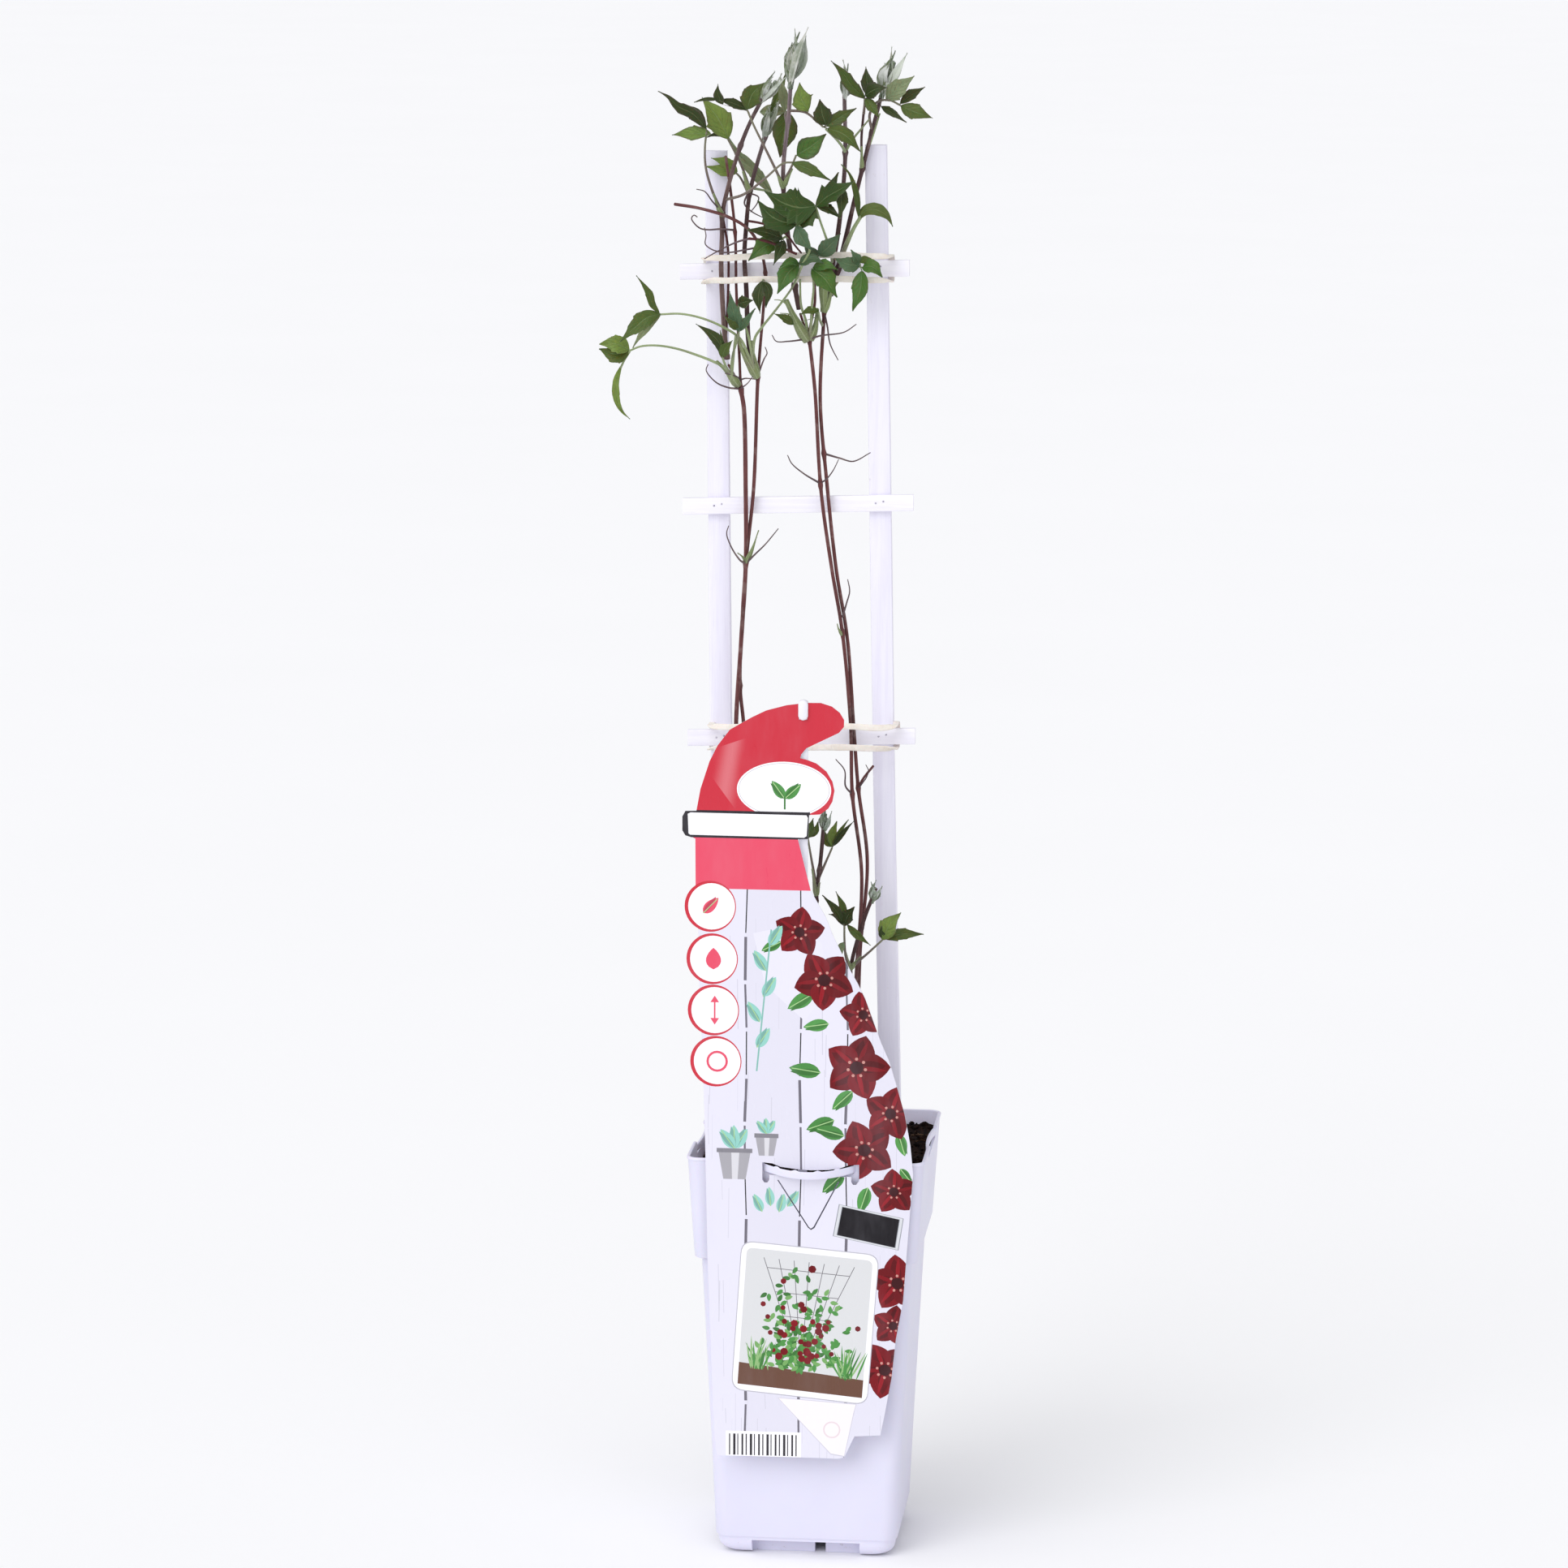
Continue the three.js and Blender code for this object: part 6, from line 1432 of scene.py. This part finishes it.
def make_leaf(name, rows):
    path = smooth_path(drawn(rows[0][1]), 1.2)
    total = max(1.0, lengths_along(path)[-1])
    crown = not LOW_LEAVES < path[-1].z < CROWN_LEAVES
    pale = CROWN_STALK if crown else PALE_GREEN * DICE.uniform(0.9, 1.1)
    thick = 1.3 if name == "leaf_hook" else 0.74

    def tone(run):
        if crown:
            return pale.lerp(PALE_GREEN, 0.3 * ease(0.5, 1.0, run / total))
        flush = 0.55 * ease(0.45, 0.0, run / total) * (0.4 if total > 45 else 1.0)
        return pale.lerp(linear("7a6462"), flush)

    shape = Shape()
    tube(shape, path, lambda run, _: thick * (1 - 0.3 * ease(0, 1, run / total)), 9, 2, tone)
    hairs(shape, path, thick * 0.75, int(total * 1.6), 0.6, 2, linear("b9bfae"))
    for (width, colour, teeth), midrib in rows[1:]:
        width = float(width)
        places = drawn(midrib)
        start = places[0]
        joint = min(path, key=lambda p: (p - start).length)
        join = [start]
        if (joint - start).length > 0.4:
            join = smooth_path([joint, joint.lerp(start, 0.6), start], 0.7)
        if colour == "stalk":
            tube(shape, join[:-1] + smooth_path(places, 1.0), width / 2, 9, 2, pale)
            continue
        purple = 0.75 if start.z > 700 else 0.5 if start.z < 400 else 0.15
        purple *= 0.3 if colour in ("greyed", "pale") else 1.0
        purple *= DICE.uniform(0.6, 1.3)
        lobed = 0.22 if colour == "lobed" else 0.0
        look = (LEAF_TONES[colour], purple, DICE.uniform(0.3, 0.5), int(teeth), lobed)
        keel, size, shade = leaflet(shape, places, width, look)
        rib_tone = shade.lerp(pale, 0.45)
        tube(shape, join + keel, lambda run, _: max(0.07, size * (1.3 - run / 16)), 6, 2, rib_tone)
    shape.build(name + "_grown", [LEAF_TOP, LEAF_UNDER, STALK], [name], 55)


# ---------------------------------------------------------------- hang card
CARD_Y = -62.4
CARD_THICK = 0.7
CARD_OUTLINE = spots(
    "-54.5 387, -52.5 398, -48 412, -44 420, -38 428, -33 431, -27 434.5, -20 438, -10 440.8, 0 442.2,"
    "7 442.3, 12.5 440.6, 16.4 437.6, 18.6 434, 18.5 430.5, 16 427.5, 10 424.5, 5 422, 0 419.5,"
    "-2.5 416.5, -3 414.5, 0 413.8, 5 412, 10 408, 13 403, 14 398.5, 13 393, 11 389.5, 7 386.5,"
    "1.5 386, 1 374, -4 373.8, 2.5 348, 10 335, 14 325, 18 317, 22 309, 26 302, 30 294, 34 283,"
    "38 272, 42 263, 46 250, 50 236, 53 220, 54.5 205, 52 170, 50 140, 46.5 120, 44.5 100, 41 80,"
    "39 70, 26 69, 21 58, 18 57, -43.5 57, -45 70, -48.5 160, -50 230, -51.5 270, -53 300, -53.5 330,"
    "-54.8 348, -55 373, -60 374.5, -61.5 377, -61.5 384, -60 386.8"
)
CARD_TABS = spots("-47.5 339, -46.5 312.5, -45.8 286.5, -44.5 260.5")
TAB_RADIUS = 12.8
CARD_HOLES = [  # the slot over the front strap, the cut round the tongue, and the peg hole
    spots("-21 209.5, -16 209, -12 207.4, -4 206.4, 3 206, 12 206.4, 18 207.4, 22 209, 27.5 209.5,"
          "27.5 201, 26 199, 24.5 199, 23.6 200.5, 23.6 203, -17.5 203, -17.5 200.5, -18.5 199,"
          "-20 199, -21 200.5"),
    spots("-13.6 200.6, 2 176.4, 3.5 175.2, 5.2 176.2, 17.7 200.6, 17 200.6, 4.8 177, 3.5 176,"
          "2.5 176.8, -12.8 200.6"),
    spots("-3.8 433.8, 0.4 433.8, 0.4 441, -3.8 441"),
]
PLANK = linear("e3e1ef")
PLANK_GAPS = (-29.5, -2.0, 21.0)
RED = linear("cb3242")
PINK = linear("e5506a")
WHITE = linear("f8f7fb")
INK = linear("2b282d")
GREEN = linear("4f9148")
SPRIG = linear("93cfc4")
PETAL = linear("6e0b15")
PRINTS = []  # polygons in x, z with their colours, from the bottom layer up


def ink(polygon, colour):
    PRINTS.append((polygon, linear(colour) if isinstance(colour, str) else colour))


def oblong(x0, z0, x1, z1):
    return [(x0, z0), (x1, z0), (x1, z1), (x0, z1)]


def disc(x, z, radius, count, squash=1.0):
    turns = [2 * math.pi * i / count for i in range(count)]
    return [(x + radius * math.cos(a), z + radius * squash * math.sin(a)) for a in turns]


def bar(x0, z0, x1, z1, wide):
    """A thin straight line of print."""
    length = math.hypot(x1 - x0, z1 - z0)
    nx = -(z1 - z0) / length * wide / 2
    nz = (x1 - x0) / length * wide / 2
    return [(x0 + nx, z0 + nz), (x0 - nx, z0 - nz), (x1 - nx, z1 - nz), (x1 + nx, z1 + nz)]


def almond(x, z, length, wide, turn, start=0.0):
    """A pointed oval that begins at x, z and runs out in the direction of turn."""
    points = []
    for i in range(9):
        t = i / 8
        points.append((start + length * t, wide / 2 * math.sin(math.pi * t ** 0.8) ** 0.8))
    points += [(u, -v) for u, v in points[-2:0:-1]]
    return [(x + u * math.cos(turn) - v * math.sin(turn), z + u * math.sin(turn) + v * math.cos(turn))
            for u, v in points]


def rounded(polygon, radius):
    """The polygon with each corner turned into a short curve."""
    out = []
    for before, corner, after in zip(polygon[-1:] + polygon[:-1], polygon, polygon[1:] + polygon[:1]):
        here = Vector(corner)
        start = here + (Vector(before) - here).normalized() * radius
        end = here + (Vector(after) - here).normalized() * radius
        for k in range(7):
            t = k / 6
            place = start.lerp(here, t).lerp(here.lerp(end, t), t)
            out.append((place.x, place.y))
    return out


def inset(polygon, amount):
    """The polygon shrunk towards its middle by about amount."""
    cx = sum(x for x, _ in polygon) / len(polygon)
    cz = sum(z for _, z in polygon) / len(polygon)
    out = []
    for x, z in polygon:
        keep = 1 - amount * 1.3 / math.hypot(x - cx, z - cz)
        out.append((cx + (x - cx) * keep, cz + (z - cz) * keep))
    return out


def print_blossom(x, z, radius, turn):
    """A plain round-petalled deep red flower."""
    for k in range(5):
        a = turn + 2 * math.pi * k / 5
        shade = PETAL * (0.82, 1.15, 0.95, 1.25, 0.9)[k]
        ink(almond(x, z, radius, radius * 0.86, a), shade)
        ink(almond(x, z, radius * 0.86, radius * 0.36, a + 0.05), shade * 0.62)
        ink(almond(x, z, radius * 0.8, radius * 0.14, a - 0.12, 1.4), shade * 1.5)
    ink(disc(x, z, radius * 0.20, 12), "3c0c12")
    for k in range(7):
        a = turn + 0.3 + 2 * math.pi * k / 7
        spot = (x + 0.26 * radius * math.cos(a), z + 0.26 * radius * math.sin(a))
        ink(disc(*spot, radius * 0.05, 6), "c98f86")


def print_leaf(x, z, length, turn, colour=GREEN):
    ink(almond(x, z, length, length * 0.48, turn), colour)
    ink(almond(x, z, length * 0.96, length * 0.22, turn + 0.12), colour * 0.66)
    end = (x + length * 0.92 * math.cos(turn), z + length * 0.92 * math.sin(turn))
    ink(bar(x, z, *end, 0.45), "a8cf8f")


def print_planks():
    """White planks with dark gaps and faint streaks."""
    edges = (-70, *PLANK_GAPS, 70)
    for x0, x1, tone in zip(edges, edges[1:], (1.0, 0.955, 1.0, 0.965)):
        ink(oblong(x0, 50, x1, 374), PLANK * tone)
    for x in PLANK_GAPS:
        for k in range(13):
            z = 348 - k * 24
            start = x + 0.5 * math.sin(k * 1.7 + x)
            end = x + 0.5 * math.sin((k + 1) * 1.7 + x)
            wide = 0.6 + 0.4 * (k * 5 % 3)
            ink(bar(start, z, end, z - 22, wide), "6f6b76" if k % 3 else "232025")
    streaks = random.Random(21)
    for _ in range(90):
        x = streaks.uniform(-50, 50)
        z = streaks.uniform(60, 345)
        length = streaks.uniform(6, 30)
        end = (x + streaks.uniform(-0.5, 0.5), z - length)
        ink(bar(x, z, *end, streaks.uniform(0.15, 0.45)), PLANK * streaks.uniform(0.78, 0.9))


def print_cap():
    """The red cap with its glow and white oval, and the white and pink bands under it."""
    ink(spots("-70 386.2, -2 386.2, 14.6 386.2, 20 410, 20 445, -70 445"), RED)
    for k in range(24):
        glow = 0.30 * math.sin(math.pi * (k + 0.5) / 24) ** 2
        low = (-47.5 + 0.55 * k, 405 - 0.75 * k)
        high = (-44 + 0.62 * k, 419 + 0.22 * k)
        beam = [low, (low[0] + 0.6, low[1] - 0.8), (high[0] + 0.68, high[1] + 0.24), high]
        ink(beam, RED.lerp(linear("f4b9bf"), glow))
    ink(disc(-11, 398.5, 23.4, 56, 0.60), WHITE)
    ink(disc(-11, 398.5, 22.6, 56, 0.59), "c9c6cd")
    ink(disc(-11, 398.5, 22.3, 56, 0.585), WHITE)
    for turn in (0.75, 2.2):
        print_leaf(-10.6, 394, 11, turn)
    ink(bar(-10.6, 388.6, -10.6, 395, 0.9), GREEN * 0.7)
    ink(oblong(-56, 348, 3, 374), PINK)
    ink(oblong(-62, 373.6, 2, 387.4), INK)
    ink(spots("-58.4 375.6, -57.6 374.9, -1 374.6, 0.3 375.4, 0.9 384.6, 0.2 385.9, -57.4 386.1,"
              "-58.8 385.4"), WHITE)


def print_garland():
    """Leaves and flowers down the right edge, each with its x, z, size and turn."""
    ink(spots("-8 330, 8 322, 12 300, 0 282, -20 300, -26 326"), PLANK * 1.02)
    leaves = spots("4 296 15 3.7, 12 281 13 3.3, 38 280 13 0.9, 8 256 16 3, 24 247 14 3.9, 45 262 11 0.6,"
                   "15 232 15 3.5, 20 224 15 2.9, 47 226 12 5, 20 205 15 3.9, 32 198 14 4.4,"
                   "-12 322 11 3.6, 48 208 9 5.4, 34 284 12 5.8")
    for x, z, length, turn in leaves:
        print_leaf(x, z, length, turn, GREEN * (0.85 + 0.3 * ((x * 7) % 5) / 5))
    flowers = spots("-3 327 13 0.2, 9.5 303 15.5 0.9, 29 286 12 0.5, 26 259 17 1.3, 43 236 14 0.1,"
                    "30 217 16 0.7, 45 196 12 0.4, 47 149 15 0.4, 45 127 11 1.4, 41 104 15 0.8")
    for flower in flowers:
        print_blossom(*flower)


def print_seedlings():
    """Sprigs, two plain pots with seedlings, and a row of leaves under them."""
    for k in range(5):
        print_leaf(-24 + 1.5 * k, 268 + 13 * k, 12, 1.0 + 1.1 * (k % 2), SPRIG)
    ink(bar(-24, 256, -17, 328, 0.8), SPRIG * 0.8)
    for x, z, size in ((-35, 214, 8.0), (-19, 222, 5.4)):
        foot = z - size * 1.7
        ink([(x - size, z), (x + size, z), (x + size * 0.7, foot), (x - size * 0.7, foot)], "a9a7ae")
        shine = [(x - size * 0.2, z), (x + size * 0.3, z), (x + size * 0.2, foot), (x - size * 0.15, foot)]
        ink(shine, "d9d8de")
        ink(oblong(x - size * 1.12, z, x + size * 1.12, z + 2.2), "86848c")
        for turn in (1.0, 1.6, 2.2):
            print_leaf(x, z + 2.2, size * 1.5, turn, SPRIG)
    for k in range(4):
        print_leaf(-21 + 4.2 * k, 184 + (k % 2) * 3, 10, 2.0 - 0.35 * k, SPRIG)


def print_tabs():
    """Four round tabs with plain signs."""
    for sign, (x, z) in zip(("leaf", "drop", "arrow", "ring"), CARD_TABS):
        ink(disc(x, z, TAB_RADIUS + 0.1, 40), RED)
        ink(disc(x + 0.7, z, TAB_RADIUS - 1.1, 40), WHITE)
        if sign == "leaf":
            print_leaf(x - 3.5, z - 3.5, 11, 0.8, PINK)
        elif sign == "drop":
            ink(almond(x + 0.7, z - 5.4, 11, 7.6, math.pi / 2), PINK)
        elif sign == "arrow":
            ink(bar(x + 0.7, z - 5, x + 0.7, z + 5, 0.8), PINK)
            for side in (-1, 1):
                ink([(x + 0.7, z + side * 7.4), (x - 1.5, z + side * 4), (x + 2.9, z + side * 4)], PINK)
        else:
            ink(disc(x + 0.7, z, 5.4, 20), PINK)
            ink(disc(x + 0.7, z, 4.2, 20), WHITE)


def print_picture():
    """A drawn climber on a fan of canes, with a white border."""
    border = spots("-31 168.5, 37.5 163, 32 86, -36 92")
    ink(rounded(inset(border, -0.5), 6.5), PLANK * 0.62)
    ink(rounded(border, 6.3), WHITE)
    view = inset(border, 3.0)
    ink(rounded(view, 3.4), "d8d9db")
    top_left, top_right, low_right, low_left = view

    def inside(u, v):
        """A place in the picture from its left to its right and from its foot to its top."""
        low = [a + (b - a) * u for a, b in zip(low_left, low_right)]
        high = [a + (b - a) * u for a, b in zip(top_left, top_right)]
        return tuple(a + (b - a) * v for a, b in zip(low, high))

    for k in range(7):
        ink(bar(*inside(0.5, 0.14), *inside(0.14 + 0.12 * k, 0.94), 0.35), "6d6a70")
    for k in range(4):
        v = 0.36 + 0.17 * k
        ink(bar(*inside(0.40 - 0.075 * k, v), *inside(0.60 + 0.075 * k, v), 0.35), "6d6a70")
    ink([inside(0, 0), inside(1, 0), inside(1, 0.13), inside(0, 0.16)], "6b4a3c")
    mounds = random.Random(5)
    greens = (GREEN, GREEN * 0.6, GREEN * 0.8, linear("76a862"))
    for _ in range(230):
        u = mounds.gauss(0.5, 0.17)
        v = 0.16 + abs(mounds.gauss(0, 0.30))
        if 0.05 < u < 0.95 and v <= 0.92:
            shade = mounds.choice(greens)
            ink(almond(*inside(u, v), 4.2, 2.2, mounds.uniform(0, ABOUT_ROUND)), shade)
    for _ in range(44):
        u = mounds.gauss(0.5, 0.15)
        v = 0.22 + abs(mounds.gauss(0, 0.30))
        if 0.06 < u < 0.94 and v <= 0.9:
            ink(disc(*inside(u, v), mounds.uniform(1.2, 2.1), 7), PETAL * mounds.uniform(0.9, 1.6))
    for u in (0.16, 0.86):
        for _ in range(26):
            root = inside(u + mounds.gauss(0, 0.03), 0.12)
            blade = almond(*root, mounds.uniform(8, 19), 1.0, mounds.uniform(1.0, 2.1))
            ink(blade, mounds.choice((GREEN, GREEN * 0.7, linear("8fb77a"))))


def print_tag():
    """A blank dark tag with a pale line round it."""
    tag = spots("17.5 189, 50 182.5, 47.5 166, 14.5 172.5")
    ink(tag, "8f929a")
    for amount, colour in ((0.35, "d6d8dd"), (1.5, "8f929a"), (1.8, "17141a")):
        ink(inset(tag, amount), colour)


def print_foot():
    """A pale panel with a ring, and a plain bar pattern that encodes nothing."""
    panel = spots("-13 88, 27 86, 26 82, 21 58, 14 59")
    ink(panel, PLANK * 0.82)
    ink(inset(panel, 0.5), "f4eef1")
    ink(disc(14.5, 72, 4.4, 24), "e6d6dc")
    ink(disc(14.5, 72, 3.6, 24), "f4eef1")
    ink(oblong(-39, 57, -1, 70), WHITE)
    for k in range(17):
        x = -37.4 + 2.1 * k
        ink(oblong(x, 57.5, x + (0.6, 1.2, 0.5, 0.9)[k % 4], 68.6), INK)


def holds(polygon, x, z):
    """Whether a polygon holds a point."""
    inside = False
    for (x0, z0), (x1, z1) in zip(polygon, polygon[1:] + polygon[:1]):
        if (z0 > z) != (z1 > z) and x < (x1 - x0) * (z - z0) / (z1 - z0) + x0:
            inside = not inside
    return inside


def card_place(spot, depth):
    """Place of a flat point on the bent card, at a depth behind its face."""
    x, z = spot
    bend = 0.9 * ease(120, 40, z) * math.cos(x * 0.035) + 0.35 * math.sin(z * 0.02) * ease(140, 240, z)
    return Vector((x, CARD_Y + depth + bend, z))


def card_triangles(outlines):
    """Flat points, and the card's triangles with their printed colours."""
    coords, edges = [], []
    for polygon in outlines + CARD_HOLES + [polygon for polygon, _ in PRINTS]:
        base = len(coords)
        coords += [Vector(c) for c in polygon]
        edges += [(base + i, base + (i + 1) % len(polygon)) for i in range(len(polygon))]
    for i in range(13):
        for k in range(36):
            coords.append(Vector((-58 + 9.5 * i + 0.013 * k, 60 + 11 * k + 0.017 * i)))
    flat, _, faces, _, _, _ = delaunay_2d_cdt(coords, edges, [], 0, 1e-4)
    layers = []
    for polygon, colour in reversed(PRINTS):
        xs, zs = zip(*polygon)
        layers.append((min(xs), max(xs), min(zs), max(zs), polygon, colour))
    kept = []
    for face in faces:
        x = sum(flat[i].x for i in face) / len(face)
        z = sum(flat[i].y for i in face) / len(face)
        if not any(holds(outline, x, z) for outline in outlines):
            continue
        if any(holds(hole, x, z) for hole in CARD_HOLES):
            continue
        colour = PLANK
        for x0, x1, z0, z1, polygon, tone in layers:
            if x0 <= x <= x1 and z0 <= z <= z1 and holds(polygon, x, z):
                colour = tone
                break
        kept.append((face, colour))
    return flat, kept


def card_side(shape, flat, kept, depth, finish):
    """Adds one side of the card, whose triangles share their corners within a colour."""
    verts, tints, faces, seen = [], [], [], {}
    for face, colour in kept:
        key = tuple(round(c, 4) for c in colour)
        for i in face:
            if (i, key) not in seen:
                seen[(i, key)] = len(verts)
                verts.append(card_place(flat[i], depth))
                tints.append(colour)
        made = tuple(seen[(i, key)] for i in face)
        faces.append(made[::-1] if depth else made)
    shape.add(verts, faces, finish, None, tints)


def make_card():
    for layer in (print_planks, print_cap, print_garland, print_seedlings, print_tabs, print_picture,
                  print_tag, print_foot):
        layer()
    flat, kept = card_triangles([CARD_OUTLINE] + [disc(x, z, TAB_RADIUS, 40) for x, z in CARD_TABS])
    shape = Shape()
    card_side(shape, flat, kept, 0, 0)
    card_side(shape, flat, [(face, (1, 1, 1)) for face, _ in kept], CARD_THICK, 1)
    sides = dict.fromkeys(side for face, _ in kept for side in zip(face, face[1:] + face[:1]))
    for a, b in sides:
        if (b, a) not in sides:
            corners = ((a, 0), (a, CARD_THICK), (b, CARD_THICK), (b, 0))
            shape.add([card_place(flat[i], depth) for i, depth in corners], [(0, 1, 2, 3)], 1)
    shape.build("label_card_printed", [CARD_FACE, CARD_BACK], ["label_card"], 30)


# ---------------------------------------------------------------- the whole plant
make_pot()
make_soil()
for upright in UPRIGHTS:
    make_upright(upright)
for rung in RUNGS:
    make_rung(rung)
for band in BANDS:
    make_band(band)
make_stake()
make_card()
for stem, rows in STEMS.items():
    make_stem(stem, rows)
for downy in TIPS:
    if downy not in STEMS:
        make_tip(downy)
for leaf, rows in LEAVES.items():
    make_leaf(leaf, rows)


# ---------------------------------------------------------------- floor, light and camera
FLOOR_RADII = (0.6, 2.0, 8.0, 60.0)
FLOOR_SIDES = 24


def studio_floor():
    """A wide flat disc of white paper, in metres."""
    verts = [(0.0, 0.0, 0.0)]
    for radius in FLOOR_RADII:
        for k in range(FLOOR_SIDES):
            turn = 2 * math.pi * k / FLOOR_SIDES
            verts.append((radius * math.cos(turn), radius * math.sin(turn), 0.0))
    faces = [(0, 1 + k, 1 + (k + 1) % FLOOR_SIDES) for k in range(FLOOR_SIDES)]
    for ring in range(len(FLOOR_RADII) - 1):
        base = 1 + ring * FLOOR_SIDES
        for k in range(FLOOR_SIDES):
            n = (k + 1) % FLOOR_SIDES
            faces.append((base + k, base + FLOOR_SIDES + k, base + FLOOR_SIDES + n, base + n))
    sheet = bpy.data.meshes.new("studio_floor")
    sheet.from_pydata(verts, [], faces)
    floor = placed("studio_floor", sheet)
    paper = Paint("floor_paper", 0.9, "fbfbfc", 0.1)
    paper.coat(paper.noise(3.0, 2.0), "fdfdfe")
    sheet.materials.append(paper.done(0.9))


def sun(name, energy, place, spread):
    """A soft sun that shines from a place to the middle of the plant."""
    data = bpy.data.lights.new(name, "SUN")
    data.energy = energy
    data.angle = math.radians(spread)
    lamp = placed(name, data)
    lamp.location = place
    lamp.rotation_euler = (Vector((0, 0, 0.4)) - Vector(place)).to_track_quat("-Z", "Y").to_euler()


studio_floor()
world = bpy.data.worlds.new("soft_white")
world.use_nodes = True
world.node_tree.nodes["Background"].inputs["Color"].default_value = (0.97, 0.975, 1.0, 1.0)
world.node_tree.nodes["Background"].inputs["Strength"].default_value = 0.62
bpy.context.scene.world = world
sun("soft_sky", 0.9, (-0.5, -1.2, 2.6), 60)
sun("key_left", 0.85, (-1.5, -2.4, 1.8), 38)
sun("front_right", 0.2, (2.0, -2.0, 0.9), 50)

# The photo's camera: its turn, rise and roll, distance in millimetres, aim and focal length.
TURN = math.radians(5.594)
RISE = math.radians(10.107)
ROLL = math.radians(0.249)
DISTANCE = 3000.0
AIM = Vector((-17.09, 0, 390.27))
FOCAL_PIXELS = 7331.4
IMAGE_PIXELS = 1932
SENSOR = 36.0
back_way = Vector((math.sin(TURN) * math.cos(RISE), -math.cos(TURN) * math.cos(RISE), math.sin(RISE)))
right_way = Vector((math.cos(TURN), math.sin(TURN), 0))
up_way = back_way.cross(right_way)
right_rolled = math.cos(ROLL) * right_way + math.sin(ROLL) * up_way
up_rolled = -math.sin(ROLL) * right_way + math.cos(ROLL) * up_way
lens = bpy.data.cameras.new("photo_camera")
lens.sensor_fit = "HORIZONTAL"
lens.sensor_width = SENSOR
lens.lens = SENSOR * FOCAL_PIXELS / IMAGE_PIXELS
lens.clip_end = 200.0
camera = placed("photo_camera", lens)
turned = Matrix((right_rolled, up_rolled, back_way)).transposed().to_4x4()
camera.matrix_world = Matrix.Translation(POT_CENTRE + (AIM + back_way * DISTANCE) * MM) @ turned
bpy.context.scene.camera = camera
bpy.context.scene.view_settings.view_transform = "Standard"
